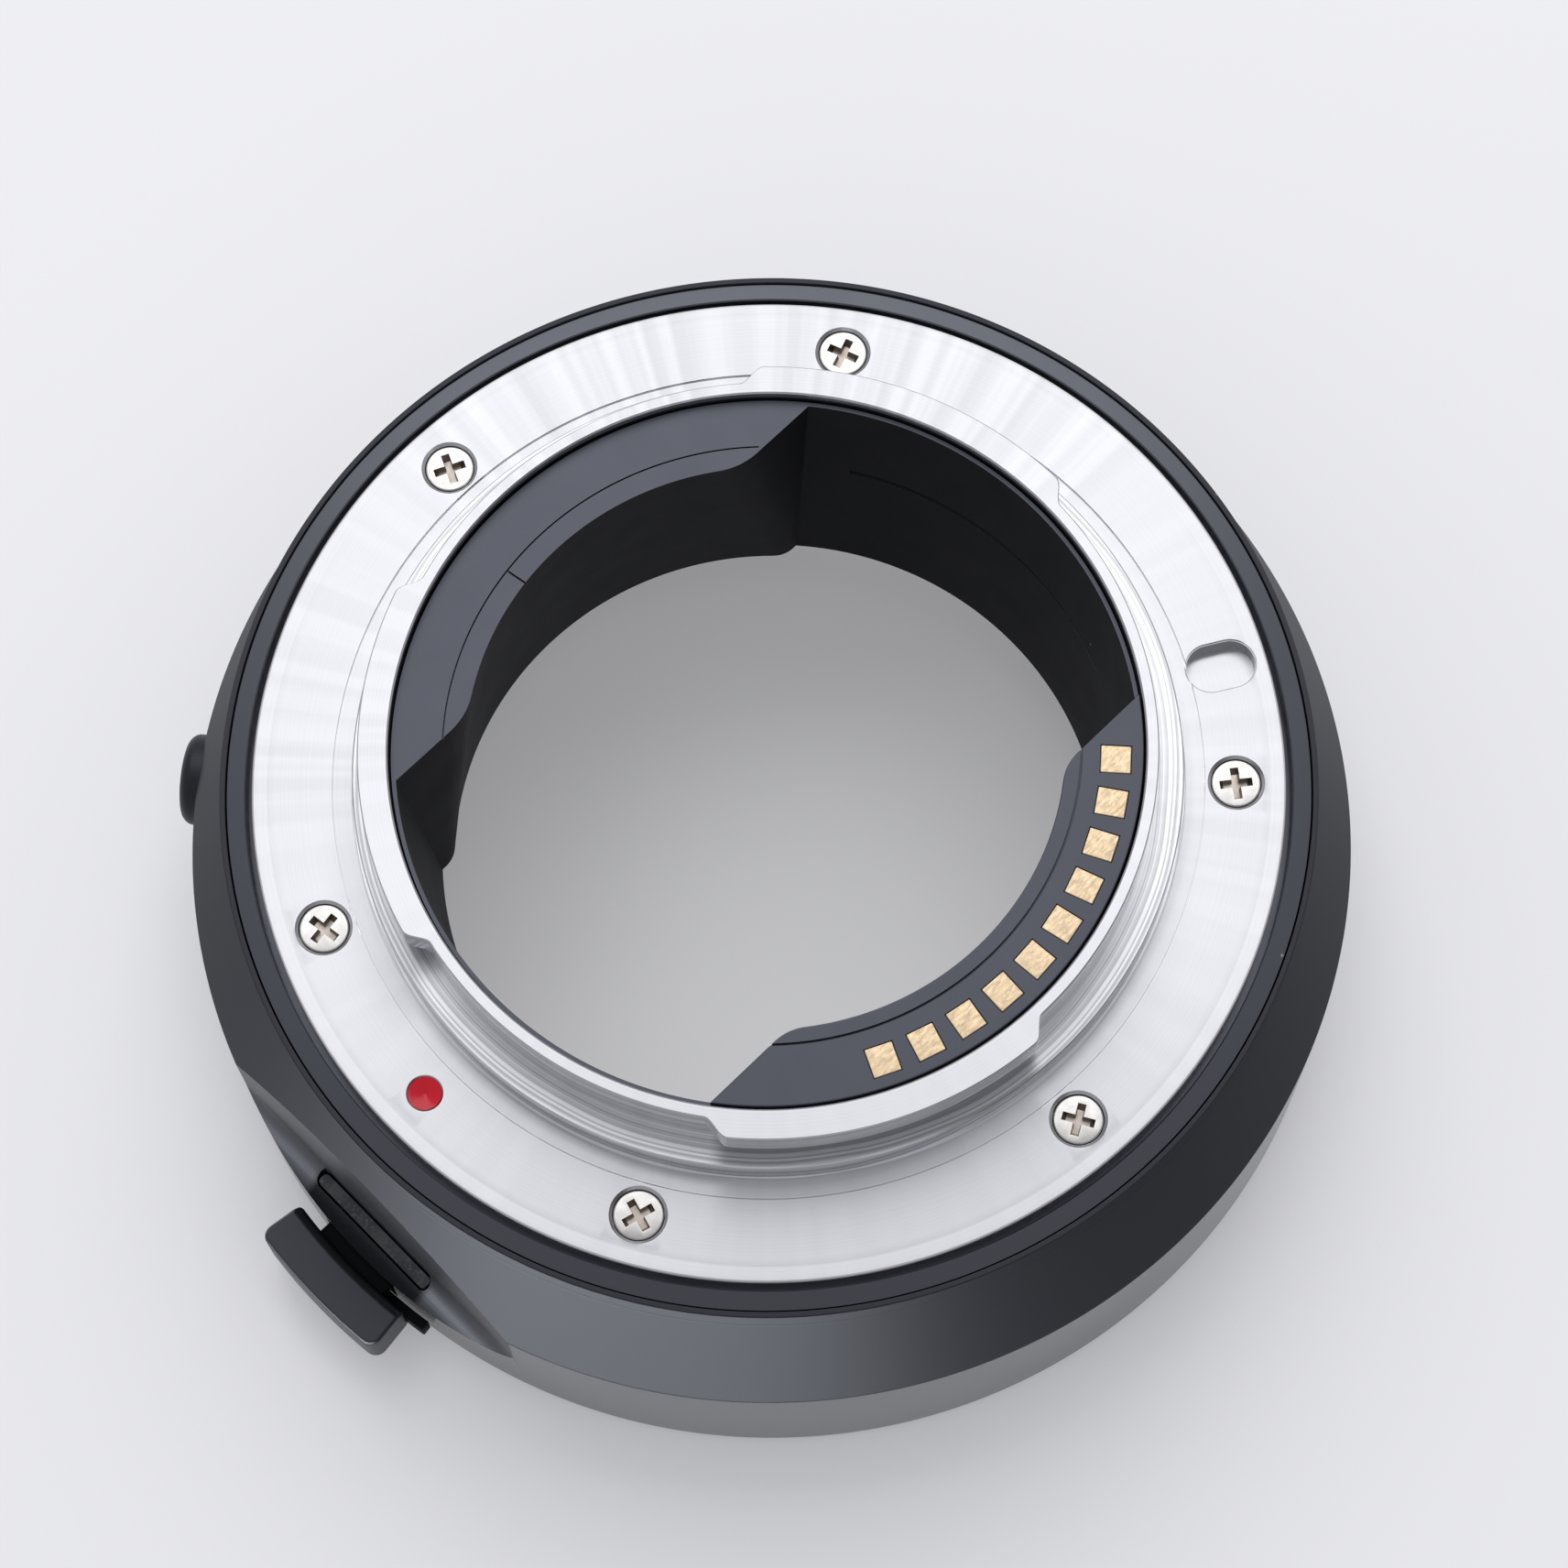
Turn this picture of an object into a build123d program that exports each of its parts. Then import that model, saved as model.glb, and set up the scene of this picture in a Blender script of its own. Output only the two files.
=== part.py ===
from build123d import *
import os
from math import cos, radians, sin

os.makedirs("parts", exist_ok=True)

# Lens mount adapter, in millimetres.
# The origin is on the optical axis in the lens-side face. +Z points to the camera,
# +Y is up in use, and the release slider is on -X.

# Registers, bores and clearances
flange_distance = 24.0
fit_gap = 0.05
loose_gap = 0.10
thread_gap = 0.02

# Outer barrel
barrel_radius = 37.5
barrel_wall = 3.55
barrel_foot = 0.6
barrel_foot_chamfer = 0.4
barrel_edge_height = 13.26
barrel_rim_width = 0.35
barrel_rim_drop = 0.4
barrel_rim_wall = 2.2
web_bottom = 2.2
web_thickness = 2.4
web_gap = 0.2
scoop_depth = 2.2
scoop_floor = 6.0
scoop_fillet = 3.0
scoop_half_length = 20.0

# Mount frame inside the barrel
frame_wall = 3.85
frame_lip_width = 1.2
frame_lip_drop = 0.35
shelf_gap = 1.27
shelf_thickness = 2.5
frame_screw_angles = (25.0, 110.0, 208.0, 270.0)
frame_screw_inset = 1.2
frame_screw_length = 5.5

# Camera-side mount ring
flange_gap = 0.4
flange_thickness = 2.0
flange_chamfer = 0.35
outer_land = 1.15
inner_land = 1.4
land_drop = 0.1
flange_width = 6.5
boss_height = 2.0
boss_chamfer = 0.3
boss_step = 1.85
collar_wall = 0.77
collar_height = 6.06
tab_reach = 1.1
tab_height = 2.36
tab_spans = ((-2.5, 47.8), (110.3, 166.1), (218.4, 267.2))
tab_root_fillet = 0.8
tab_tip_fillet = 0.3
tab_edge_chamfer = 0.15
mount_screw_angles = (36.0, 90.0, 155.5, 210.0, 265.7, 314.0)
mount_screw_inset = 3.12
lock_slot_angle = 329.3
lock_slot_inset = 2.98
lock_slot_length = 4.4
lock_slot_width = 3.1
lock_slot_depth = 1.3
index_angle = 180.0
index_inset = 3.01
index_radius = 1.0
index_depth = 0.6
index_dish = 0.3

# Cross-recess screws
mount_head_radius = 1.5
mount_head_height = 0.95
mount_head_sink = 0.15
mount_shank_radius = 0.8
mount_shank_length = 3.0
small_head_radius = 1.2
small_head_height = 0.8
small_shank_radius = 0.6
recess_length = 0.62
recess_width = 0.17
recess_depth = 0.55

# Light baffle
baffle_gap = 0.28
baffle_bottom = 8.5
baffle_top_drop = 0.86
baffle_side_top_wall = 0.5
baffle_side_bottom_wall = 1.15
baffle_crescent_top = 4.4
baffle_crescent_bottom = 1.95
baffle_band_inset = 8.55
baffle_corner_top = 4.5
baffle_corner_bottom = 1.9
baffle_flange_gap = 0.6
baffle_flange_thickness = 2.0
baffle_screw_angles = (30.0, 90.0, 150.0)
baffle_screw_inset = 2.4
baffle_screw_length = 3.2
groove_height = 20.6
groove_width = 0.4
groove_depth = 0.3
groove_span = (-24.0, 32.0)
ridge_seam_radius_gap = 1.35
ridge_seam_width = 0.14
ridge_seam_depth = 0.25
ridge_seam_span = (47.0, 137.0)

# Camera-side contacts, below the axis as the contacts of the lens side are
contact_angle = 270.0
contact_top_drop = 0.06
contact_block_height = 4.5
contact_block_width = 4.55
contact_block_inset = 8.9
contact_block_corner = 3.2
seam_gap = 0.9
seam_width = 0.14
seam_depth = 0.25
seam_span = (228.0, 312.0)
pad_count = 10
pad_pitch = 7.5
pad_centre_angle = 278.25
pad_inset = 1.47
pad_length = 1.9
pad_width = 1.8
pad_thickness = 0.5
pad_leg = 0.5
flex_thickness = 0.2
flex_inner_inset = 2.95
flex_outer_inset = 0.45
flex_half_span = 36.0
flex_tail_width = 8.0
flex_tail_inset = 1.0

# Control board
board_bottom = 14.2
board_thickness = 1.0
board_inner_gap = 0.55
board_outer_inset = 0.2
board_half_span = 42.0
board_post_angles = (236.0, 304.0)
board_post_radius = 1.6
board_screw_length = 2.6
controller_size = 4.0
controller_height = 0.9
controller_angle = 288.0
memory_length = 3.4
memory_width = 2.6
memory_height = 0.8
memory_angle = 252.0

# Lens-side mount ring
lens_ring_inset = 1.45
throat_depth = 5.4
claw_reach = 1.7
claw_relief = 0.3
claw_thickness = 1.3
throat_angles = (90.0, 210.0, 330.0)
throat_span = 56.0
lens_ring_chamfer = 0.3
lens_screw_angles = (50.0, 130.0, 165.0, 250.0, 290.0)
lens_screw_inset = 2.6
lens_screw_length = 2.0
leaf_width = 2.4
leaf_overlap = 1.2
leaf_thickness = 0.25
leaf_span = 40.0
leaf_angles = (30.0, 150.0, 270.0)

# Lens-side contacts
lens_block_gap = 0.8
lens_block_width = 5.1
lens_block_half_span = 34.0
lens_block_face = 3.2
lens_block_top = 7.6
lens_ear_gap = 0.3
lens_ear_thickness = 1.6
lens_ear_span = 9.0
lens_ear_angles = (242.0, 298.0)
lens_ear_screw_inset = 1.1
lens_ear_screw_length = 2.6
pin_count = 8
pin_pitch = 7.2
pin_inset = 2.6
pin_radius = 0.45
pin_nose = 0.25
pin_shoulder_radius = 0.58
pin_shoulder_length = 0.9
pin_reach = 1.0
socket_wall = 0.2
socket_bottom = 4.4
socket_cap = 0.4
socket_tail_radius = 0.35
contact_board_thickness = 0.6
contact_board_margin = 2.0
lens_flex_half_width = 4.0
lens_flex_gap = 0.5

# Release slider, at the foot of the scoop
finger_gap = 0.8
finger_width = 3.2
finger_half_angle = 7.4
finger_bottom = 2.2
finger_top = 6.0
finger_corner = 0.8
finger_edge = 0.35
finger_slope = 0.5
sole_gap = 0.15
sole_span = (176.5, 189.3)
sole_bottom = 2.0
sole_top = 3.6
release_up = 0.4
release_down = 1.8
arm_bottom = 4.05
arm_thickness = 1.05
arm_half_width = 2.9
window_margin = 2.0
guide_half_length = 5.0
guide_thickness = 0.8
guide_bottom = 3.4
guide_height = 3.6
guide_end_fillet = 0.35
tongue_grip = 0.4

# Lens lock pin and its spring
lock_pin_inset = 0.4
lock_pin_radius = 1.0
lock_stem_radius = 0.6
lock_stem_length = 3.1
lock_spring_radius = 1.0
lock_spring_wire = 0.26
lock_spring_turns = 5
lock_spring_length = 4.5
spring_seat_half_width = 3.5
spring_seat_depth = 3.0
spring_seat_height = 3.0

# Side button, on a radial axis
button_angle = 129.0
button_height = 10.8
button_radius = 3.0
button_reach = 1.8
button_edge = 0.5
button_flange_width = 0.75
button_flange_thickness = 0.7
button_lip = 1.2
button_stem_radius = 0.9
button_travel = 0.8
switch_radius = 2.5
switch_thickness = 0.6
switch_dome_radius = 1.1
switch_dome_height = 0.45
switch_floor = 1.0

# Lens-side index dot on the barrel wall
lens_index_angle = 90.0
lens_index_height = 5.0
lens_index_radius = 1.3
lens_index_depth = 0.5
lens_index_sink = 0.05

# Radii worked out from the barrel inward and outward
barrel_bore = barrel_radius - barrel_wall
barrel_rim_radius = barrel_bore + barrel_rim_width
scoop_face = barrel_radius - scoop_depth
frame_radius = barrel_bore - loose_gap
frame_bore = frame_radius - frame_wall
frame_lip_bore = frame_radius - frame_lip_width
flange_radius = frame_lip_bore - flange_gap
face_outer_radius = flange_radius - outer_land
boss_radius = flange_radius - flange_width
face_inner_radius = boss_radius + inner_land
collar_radius = boss_radius - boss_step
collar_bore = collar_radius - collar_wall
tab_radius = collar_radius + tab_reach
mount_screw_circle = flange_radius - mount_screw_inset
lock_slot_circle = flange_radius - lock_slot_inset
index_circle = flange_radius - index_inset
shelf_radius = collar_bore + shelf_gap
frame_screw_circle = frame_bore + frame_screw_inset
baffle_radius = collar_bore - baffle_gap
baffle_side_top = baffle_radius - baffle_side_top_wall
baffle_side_bottom = baffle_radius - baffle_side_bottom_wall
baffle_round_top = baffle_radius - baffle_crescent_top
baffle_round_bottom = baffle_radius - baffle_crescent_bottom
baffle_band = baffle_radius - baffle_band_inset
ridge_seam_radius = baffle_round_top + ridge_seam_radius_gap
baffle_flange_radius = frame_bore - baffle_flange_gap
baffle_screw_circle = shelf_radius + baffle_screw_inset
contact_block_radius = baffle_radius - loose_gap
contact_block_inner = contact_block_radius - contact_block_width
contact_block_chord = contact_block_radius - contact_block_inset
seam_radius = contact_block_inner + seam_gap
pad_circle = contact_block_radius - pad_inset
flex_inner = contact_block_radius - flex_inner_inset
flex_outer = contact_block_radius - flex_outer_inset
flex_tail_y = baffle_radius - flex_tail_inset
board_inner = baffle_radius + board_inner_gap
board_outer = baffle_flange_radius - board_outer_inset
board_post_circle = (board_inner + board_outer) / 2
chip_circle = (board_inner + board_outer) / 2
lens_ring_radius = barrel_bore - lens_ring_inset
throat_radius = lens_ring_radius - throat_depth
claw_radius = throat_radius - claw_reach
claw_relief_radius = throat_radius + claw_relief
web_radius = claw_relief_radius + web_gap
lens_screw_circle = lens_ring_radius - lens_screw_inset
leaf_outer = claw_relief_radius + leaf_overlap
leaf_inner = leaf_outer - leaf_width
lens_block_outer = throat_radius - lens_block_gap
lens_block_inner = lens_block_outer - lens_block_width
lens_ear_radius = frame_bore - lens_ear_gap
lens_ear_screw_circle = web_radius + lens_ear_screw_inset
pin_circle = lens_block_outer - pin_inset
lens_flex_y = lens_block_outer + lens_flex_gap
finger_inner = barrel_radius + finger_gap
finger_outer = finger_inner + finger_width
tongue_end = finger_inner + tongue_grip
lock_pin_circle = frame_bore - lock_pin_inset
button_face = barrel_radius + button_reach
button_flange_radius = button_radius + button_flange_width
switch_seat = frame_bore + switch_floor

# Heights worked out from the sizes above
flange_back = flange_distance - flange_thickness
collar_top = flange_distance + collar_height
boss_top = flange_distance + boss_height
tab_bottom = collar_top - tab_height
barrel_top = flange_distance - barrel_rim_drop
web_top = web_bottom + web_thickness
frame_top = flange_distance - frame_lip_drop
shelf_bottom = flange_back - shelf_thickness
baffle_top = collar_top - baffle_top_drop
baffle_flange_bottom = shelf_bottom - baffle_flange_thickness
contact_top = collar_top - contact_top_drop
contact_bottom = contact_top - contact_block_height
flex_bottom = contact_bottom - flex_thickness
board_top = board_bottom + board_thickness
spring_seat_bottom = arm_bottom + arm_thickness + lock_spring_length
arm_top = arm_bottom + arm_thickness
window_bottom = web_bottom
window_top = arm_top + release_up + loose_gap
channel_floor = guide_bottom - release_down - loose_gap
channel_inner = scoop_face + loose_gap / 2
channel_outer = channel_inner + guide_thickness + 2.5 * loose_gap
guide_inner = channel_inner + loose_gap
button_lip_face = barrel_radius - button_lip
button_flange_back = button_lip_face - button_flange_thickness
switch_top = switch_seat + switch_thickness
button_stem_tip = switch_top + switch_dome_height + fit_gap + button_travel
socket_bore = pin_shoulder_radius + fit_gap
socket_radius = socket_bore + socket_wall


def at(radius, angle, height=0.0):
    """A point at a radius and an angle round the axis."""
    return Vector(radius * cos(radians(angle)), radius * sin(radians(angle)), height)


def ring_sector(inner, outer, start, end):
    """The flat sketch of a ring sector between two angles."""
    span = end - start
    with BuildSketch() as sector:
        with BuildLine():
            outside = CenterArc((0, 0), outer, start, span)
            inside = CenterArc((0, 0), inner, start, span)
            Line(outside @ 0, inside @ 0)
            Line(outside @ 1, inside @ 1)
        make_face()
    return sector.sketch


def radial_plane(angle, height, distance=0.0):
    """A plane whose normal points straight out from the axis."""
    outward = at(1, angle)
    return Plane(origin=outward * distance + Vector(0, 0, height), x_dir=(0, 0, 1), z_dir=outward)


def facing_down(height):
    """A plane that looks to the lens side, with its angles running the other way."""
    return Plane(origin=(0, 0, height), x_dir=(1, 0, 0), z_dir=(0, 0, -1))


def save(piece, label):
    """Names a finished piece and writes it."""
    piece.part.label = label
    export_step(piece.part, f"parts/{label}.step")


def screw_group(label, places, under_head, head, shank, length, points_up=False, recess=True):
    """Like screws side by side: head and shank are (radius, height or None) sizes."""
    head_radius, head_height = head
    sign = 1 if points_up else -1
    head_plane = Plane(origin=(0, 0, under_head), z_dir=(0, 0, -sign))
    with BuildPart() as screws:
        with BuildSketch(head_plane):
            with Locations(*[head_plane.to_local_coords(place) for place in places]):
                Circle(head_radius)
        extrude(amount=head_height)
        with BuildSketch(head_plane):
            with Locations(*[head_plane.to_local_coords(place) for place in places]):
                Circle(shank)
        extrude(amount=-length)
        if recess:
            with BuildSketch(head_plane.offset(head_height)):
                with Locations(*[head_plane.to_local_coords(place) for place in places]):
                    Rectangle(2 * recess_length, 2 * recess_width)
                    Rectangle(2 * recess_width, 2 * recess_length)
            extrude(amount=-min(recess_depth, 0.7 * head_height), mode=Mode.SUBTRACT)
    save(screws, label)


# Outer barrel: turned shell with a web for the lens-side ring
lens_ring_pocket = lens_ring_radius + loose_gap
leaf_pocket_radius = leaf_outer + 2 * loose_gap
leaf_pocket_top = web_bottom + leaf_thickness + fit_gap
with BuildPart() as outer_barrel:
    with BuildSketch(Plane.XZ):
        with BuildLine():
            Polyline(
                (lens_ring_pocket, barrel_foot),
                (barrel_radius - barrel_foot_chamfer, barrel_foot),
                (barrel_radius, barrel_foot + barrel_foot_chamfer),
                (barrel_radius, barrel_edge_height),
                (barrel_rim_radius, barrel_top - barrel_rim_wall),
                (barrel_rim_radius, barrel_top),
                (barrel_bore, barrel_top),
                (barrel_bore, web_top),
                (web_radius, web_top),
                (web_radius, leaf_pocket_top),
                (leaf_pocket_radius, leaf_pocket_top),
                (leaf_pocket_radius, web_bottom),
                (lens_ring_pocket, web_bottom),
                close=True,
            )
        make_face()
    revolve(axis=Axis.Z)
    # The thumb scoop: a flat that runs out on a rounded ledge above the slider
    with BuildSketch(Plane.XZ):
        with BuildLine():
            Polyline(
                (-scoop_face, flange_distance),
                (-scoop_face, scoop_floor),
                (-barrel_radius - scoop_depth, scoop_floor),
                (-barrel_radius - scoop_depth, flange_distance),
                close=True,
            )
        make_face()
        fillet(vertices().sort_by(Axis.X)[-2:].sort_by(Axis.Y)[0], scoop_fillet)
    extrude(amount=scoop_half_length, both=True, mode=Mode.SUBTRACT)
    # The guide channel of the carriage, open at the ledge
    with BuildSketch(Plane.XY.offset(channel_floor)):
        with Locations((-(channel_inner + channel_outer) / 2, 0)):
            Rectangle(channel_outer - channel_inner, 2 * (guide_half_length + 2 * loose_gap))
        fillet(vertices(), guide_end_fillet)
    extrude(amount=barrel_edge_height - channel_floor, mode=Mode.SUBTRACT)
    # The window that the carriage arm passes through
    with BuildSketch(Plane.XY.offset(window_bottom)):
        with Locations((-(web_radius + barrel_radius) / 2, 0)):
            Rectangle(barrel_radius - web_radius + 2 * window_margin, 2 * (arm_half_width + 3 * loose_gap))
    extrude(amount=window_top - window_bottom, mode=Mode.SUBTRACT)
    # The stepped bore of the side button
    with BuildSketch(radial_plane(button_angle, button_height, frame_bore)):
        Circle(button_radius + loose_gap)
    extrude(amount=button_face - frame_bore, mode=Mode.SUBTRACT)
    with BuildSketch(radial_plane(button_angle, button_height, frame_bore)):
        Circle(button_flange_radius + loose_gap)
    extrude(amount=button_lip_face - frame_bore, mode=Mode.SUBTRACT)
    # Screw holes in the web and the seat of the index dot
    with Locations(facing_down(web_bottom)):
        with Locations(*[at(frame_screw_circle, -a) for a in frame_screw_angles]):
            CounterBoreHole(
                mount_shank_radius + loose_gap,
                small_head_radius + loose_gap,
                small_head_height + loose_gap,
                web_thickness,
            )
        with Locations(*[at(lens_screw_circle, -a) for a in lens_screw_angles]):
            Hole(small_shank_radius + thread_gap, lens_screw_length + loose_gap)
    with Locations(Plane.XY.offset(web_top)):
        with Locations(*[at(lens_ear_screw_circle, a) for a in lens_ear_angles]):
            Hole(small_shank_radius + thread_gap, web_thickness - leaf_thickness)
    with BuildSketch(radial_plane(lens_index_angle, lens_index_height, barrel_radius + 1)):
        Circle(lens_index_radius)
    extrude(amount=-1 - lens_index_depth, mode=Mode.SUBTRACT)
save(outer_barrel, "outer_barrel")

with BuildPart() as lens_index_dot:
    with BuildSketch(radial_plane(lens_index_angle, lens_index_height, barrel_radius - lens_index_depth)):
        Circle(lens_index_radius - thread_gap)
    extrude(amount=lens_index_depth - lens_index_sink)
save(lens_index_dot, "lens_index_dot")

# Mount frame: carries the camera-side ring and spaces it from the web
with BuildPart() as mount_frame:
    with BuildSketch(Plane.XZ):
        with BuildLine():
            Polyline(
                (frame_bore, web_top),
                (frame_radius, web_top),
                (frame_radius, frame_top),
                (frame_lip_bore, frame_top),
                (frame_lip_bore, flange_back),
                (shelf_radius, flange_back),
                (shelf_radius, shelf_bottom),
                (frame_bore, shelf_bottom),
                close=True,
            )
        make_face()
    revolve(axis=Axis.Z)
    # Opening for the carriage arm and the seat of the lock pin spring above it
    with BuildSketch(Plane.XY.offset(web_top)):
        with Locations((-(frame_bore + frame_radius) / 2, 0)):
            Rectangle(2 * frame_wall, 2 * (arm_half_width + 1))
    extrude(amount=spring_seat_bottom - web_top, mode=Mode.SUBTRACT)
    with BuildSketch(Plane.XY.offset(spring_seat_bottom)):
        with Locations((-frame_bore - frame_wall / 2 + spring_seat_depth / 2, 0)):
            Rectangle(frame_wall / 2 + spring_seat_depth, 2 * spring_seat_half_width)
    extrude(amount=spring_seat_height)
    # Pocket for the button's switch and spring
    with BuildSketch(radial_plane(button_angle, button_height, switch_seat)):
        Circle(switch_radius + loose_gap)
    extrude(amount=frame_radius + 1 - switch_seat, mode=Mode.SUBTRACT)
    # Screw holes from both ends
    with Locations(Plane.XY.offset(flange_back)):
        with Locations(*[at(mount_screw_circle, a) for a in mount_screw_angles]):
            Hole(mount_shank_radius + thread_gap, shelf_thickness)
    with Locations(facing_down(web_top)):
        with Locations(*[at(frame_screw_circle, -a) for a in frame_screw_angles]):
            Hole(mount_shank_radius + thread_gap, frame_screw_length)
    with Locations(facing_down(shelf_bottom)):
        with Locations(*[at(baffle_screw_circle, -a) for a in baffle_screw_angles]):
            Hole(small_shank_radius + thread_gap, shelf_thickness - 2 * loose_gap)
save(mount_frame, "mount_frame")

screw_group(
    "frame_screws",
    [at(frame_screw_circle, a) for a in frame_screw_angles],
    web_bottom + small_head_height + loose_gap,
    (small_head_radius, small_head_height),
    mount_shank_radius,
    frame_screw_length + web_thickness - small_head_height - 2 * loose_gap,
    points_up=True,
)

# Camera-side mount ring: flange, boss, collar and three bayonet tabs in one turning
with BuildPart() as camera_mount_ring:
    with BuildSketch(Plane.XZ):
        with BuildLine():
            Polyline(
                (collar_bore, flange_back),
                (flange_radius, flange_back),
                (flange_radius, flange_distance - land_drop - flange_chamfer),
                (flange_radius - flange_chamfer, flange_distance - land_drop),
                (face_outer_radius, flange_distance - land_drop),
                (face_outer_radius, flange_distance),
                (face_inner_radius, flange_distance),
                (face_inner_radius, flange_distance - land_drop),
                (boss_radius, flange_distance - land_drop),
                (boss_radius, boss_top - boss_chamfer),
                (boss_radius - boss_chamfer, boss_top),
                (collar_radius, boss_top),
                (collar_radius, tab_bottom),
                (collar_bore, tab_bottom),
                close=True,
            )
        make_face()
    revolve(axis=Axis.Z)
    with BuildSketch(Plane.XY.offset(tab_bottom)):
        Circle(collar_radius)
        for start, end in tab_spans:
            add(ring_sector(collar_radius - 1, tab_radius, start, end))
        inner_corners = vertices().filter_by(lambda v: abs(Vector(v).length - collar_radius) < 0.01)
        fillet(inner_corners, tab_root_fillet)
        tip_corners = vertices().filter_by(lambda v: abs(Vector(v).length - tab_radius) < 0.01)
        fillet(tip_corners, tab_tip_fillet)
        Circle(collar_bore, mode=Mode.SUBTRACT)
    extrude(amount=tab_height)
    chamfer(faces().sort_by(Axis.Z)[-1].outer_wire().edges(), tab_edge_chamfer)
    with Locations(Plane.XY.offset(flange_distance)):
        with Locations(*[at(mount_screw_circle, a) for a in mount_screw_angles]):
            CounterBoreHole(
                mount_shank_radius + loose_gap,
                mount_head_radius + 2 * loose_gap,
                mount_head_height + mount_head_sink,
                flange_thickness,
            )
    slot_centre = at(lock_slot_circle, lock_slot_angle)
    with BuildSketch(Plane.XY.offset(flange_distance)):
        with Locations(Location((slot_centre.X, slot_centre.Y, 0), (0, 0, lock_slot_angle))):
            SlotOverall(lock_slot_length, lock_slot_width)
    extrude(amount=-lock_slot_depth, mode=Mode.SUBTRACT)
    with Locations(Plane.XY.offset(flange_distance)):
        with Locations(at(index_circle, index_angle)):
            Hole(index_radius, index_depth)
save(camera_mount_ring, "camera_mount_ring")

screw_group(
    "camera_mount_screws",
    [at(mount_screw_circle, a) for a in mount_screw_angles],
    flange_distance - mount_head_sink - mount_head_height,
    (mount_head_radius, mount_head_height),
    mount_shank_radius,
    mount_shank_length,
)

# Red enamel in its dimple, dished like a drop that dried
dish_radius = ((index_radius - 0.1) ** 2 + index_dish ** 2) / (2 * index_dish)
with BuildPart() as camera_index_dot:
    with BuildSketch(Plane.XY.offset(flange_distance - index_depth)):
        with Locations(at(index_circle, index_angle)):
            Circle(index_radius - thread_gap)
    extrude(amount=index_depth - thread_gap)
    with Locations(at(index_circle, index_angle, flange_distance - thread_gap - index_dish + dish_radius)):
        Sphere(dish_radius, mode=Mode.SUBTRACT)
save(camera_index_dot, "camera_index_dot")


def baffle_opening(round_radius, side_radius, corner):
    """The light opening: a round hole widened sideways by a band for the picture's long side."""
    with BuildSketch() as opening:
        Circle(side_radius)
        Rectangle(2 * side_radius, 2 * baffle_band, mode=Mode.INTERSECT)
        Circle(round_radius)
        corners = vertices().filter_by(lambda v: abs(Vector(v).length - round_radius) < 0.01)
        fillet(corners, corner)
    return opening.sketch


# Light baffle: black moulding that hangs under the shelf of the frame
flex_slot = 2 * loose_gap
with BuildPart() as light_baffle:
    with BuildSketch(Plane.XY.offset(baffle_bottom)):
        Circle(baffle_radius)
    extrude(amount=baffle_top - baffle_bottom)
    with BuildSketch(Plane.XY.offset(baffle_flange_bottom)):
        Circle(baffle_flange_radius)
    extrude(amount=baffle_flange_thickness)
    with BuildSketch(Plane.XY.offset(board_top)):
        with Locations(*[at(board_post_circle, a) for a in board_post_angles]):
            Circle(board_post_radius)
    extrude(amount=baffle_flange_bottom - board_top)
    with BuildSketch(Plane.XY.offset(baffle_bottom)):
        add(baffle_opening(baffle_round_bottom, baffle_side_bottom, baffle_corner_bottom))
    with BuildSketch(Plane.XY.offset(baffle_top)):
        add(baffle_opening(baffle_round_top, baffle_side_top, baffle_corner_top))
    loft(ruled=True, mode=Mode.SUBTRACT)
    # Seat of the contact block, then the way of its flexible circuit
    with BuildSketch(Plane.XY.offset(flex_bottom)):
        with Locations((0, -contact_block_chord - baffle_radius)):
            Rectangle(3 * baffle_radius, 2 * baffle_radius)
    extrude(amount=contact_block_height + 1, mode=Mode.SUBTRACT)
    with BuildSketch(Plane.XY.offset(board_top - flex_slot)):
        with Locations((0, -flex_tail_y)):
            Rectangle(flex_tail_width + 2 * flex_slot, flex_thickness + 2 * flex_slot)
    extrude(amount=flex_bottom - board_top + flex_slot, mode=Mode.SUBTRACT)
    with BuildSketch(Plane.XY.offset(board_top - flex_slot)):
        with Locations((0, -(flex_tail_y + board_inner) / 2)):
            Rectangle(flex_tail_width + 2 * flex_slot, board_inner - flex_tail_y)
    extrude(amount=flex_thickness + 2 * flex_slot, mode=Mode.SUBTRACT)
    # Moulding groove on the side away from the slider
    with BuildSketch(Plane.XY.offset(groove_height)):
        add(ring_sector(baffle_side_bottom - 1, baffle_side_top + groove_depth / 3, *groove_span))
    extrude(amount=groove_width, mode=Mode.SUBTRACT)
    # Parting seam on the upper crescent
    with BuildSketch(Plane.XY.offset(baffle_top)):
        add(ring_sector(ridge_seam_radius, ridge_seam_radius + ridge_seam_width, *ridge_seam_span))
    extrude(amount=-ridge_seam_depth, mode=Mode.SUBTRACT)
    with Locations(facing_down(baffle_flange_bottom)):
        with Locations(*[at(baffle_screw_circle, -a) for a in baffle_screw_angles]):
            Hole(small_shank_radius + loose_gap, baffle_flange_thickness)
    with Locations(facing_down(board_top)):
        with Locations(*[at(board_post_circle, -a) for a in board_post_angles]):
            Hole(small_shank_radius + thread_gap, board_screw_length)
save(light_baffle, "light_baffle")

screw_group(
    "baffle_screws",
    [at(baffle_screw_circle, a) for a in baffle_screw_angles],
    baffle_flange_bottom,
    (small_head_radius, small_head_height),
    small_shank_radius,
    baffle_screw_length,
    points_up=True,
)

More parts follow.
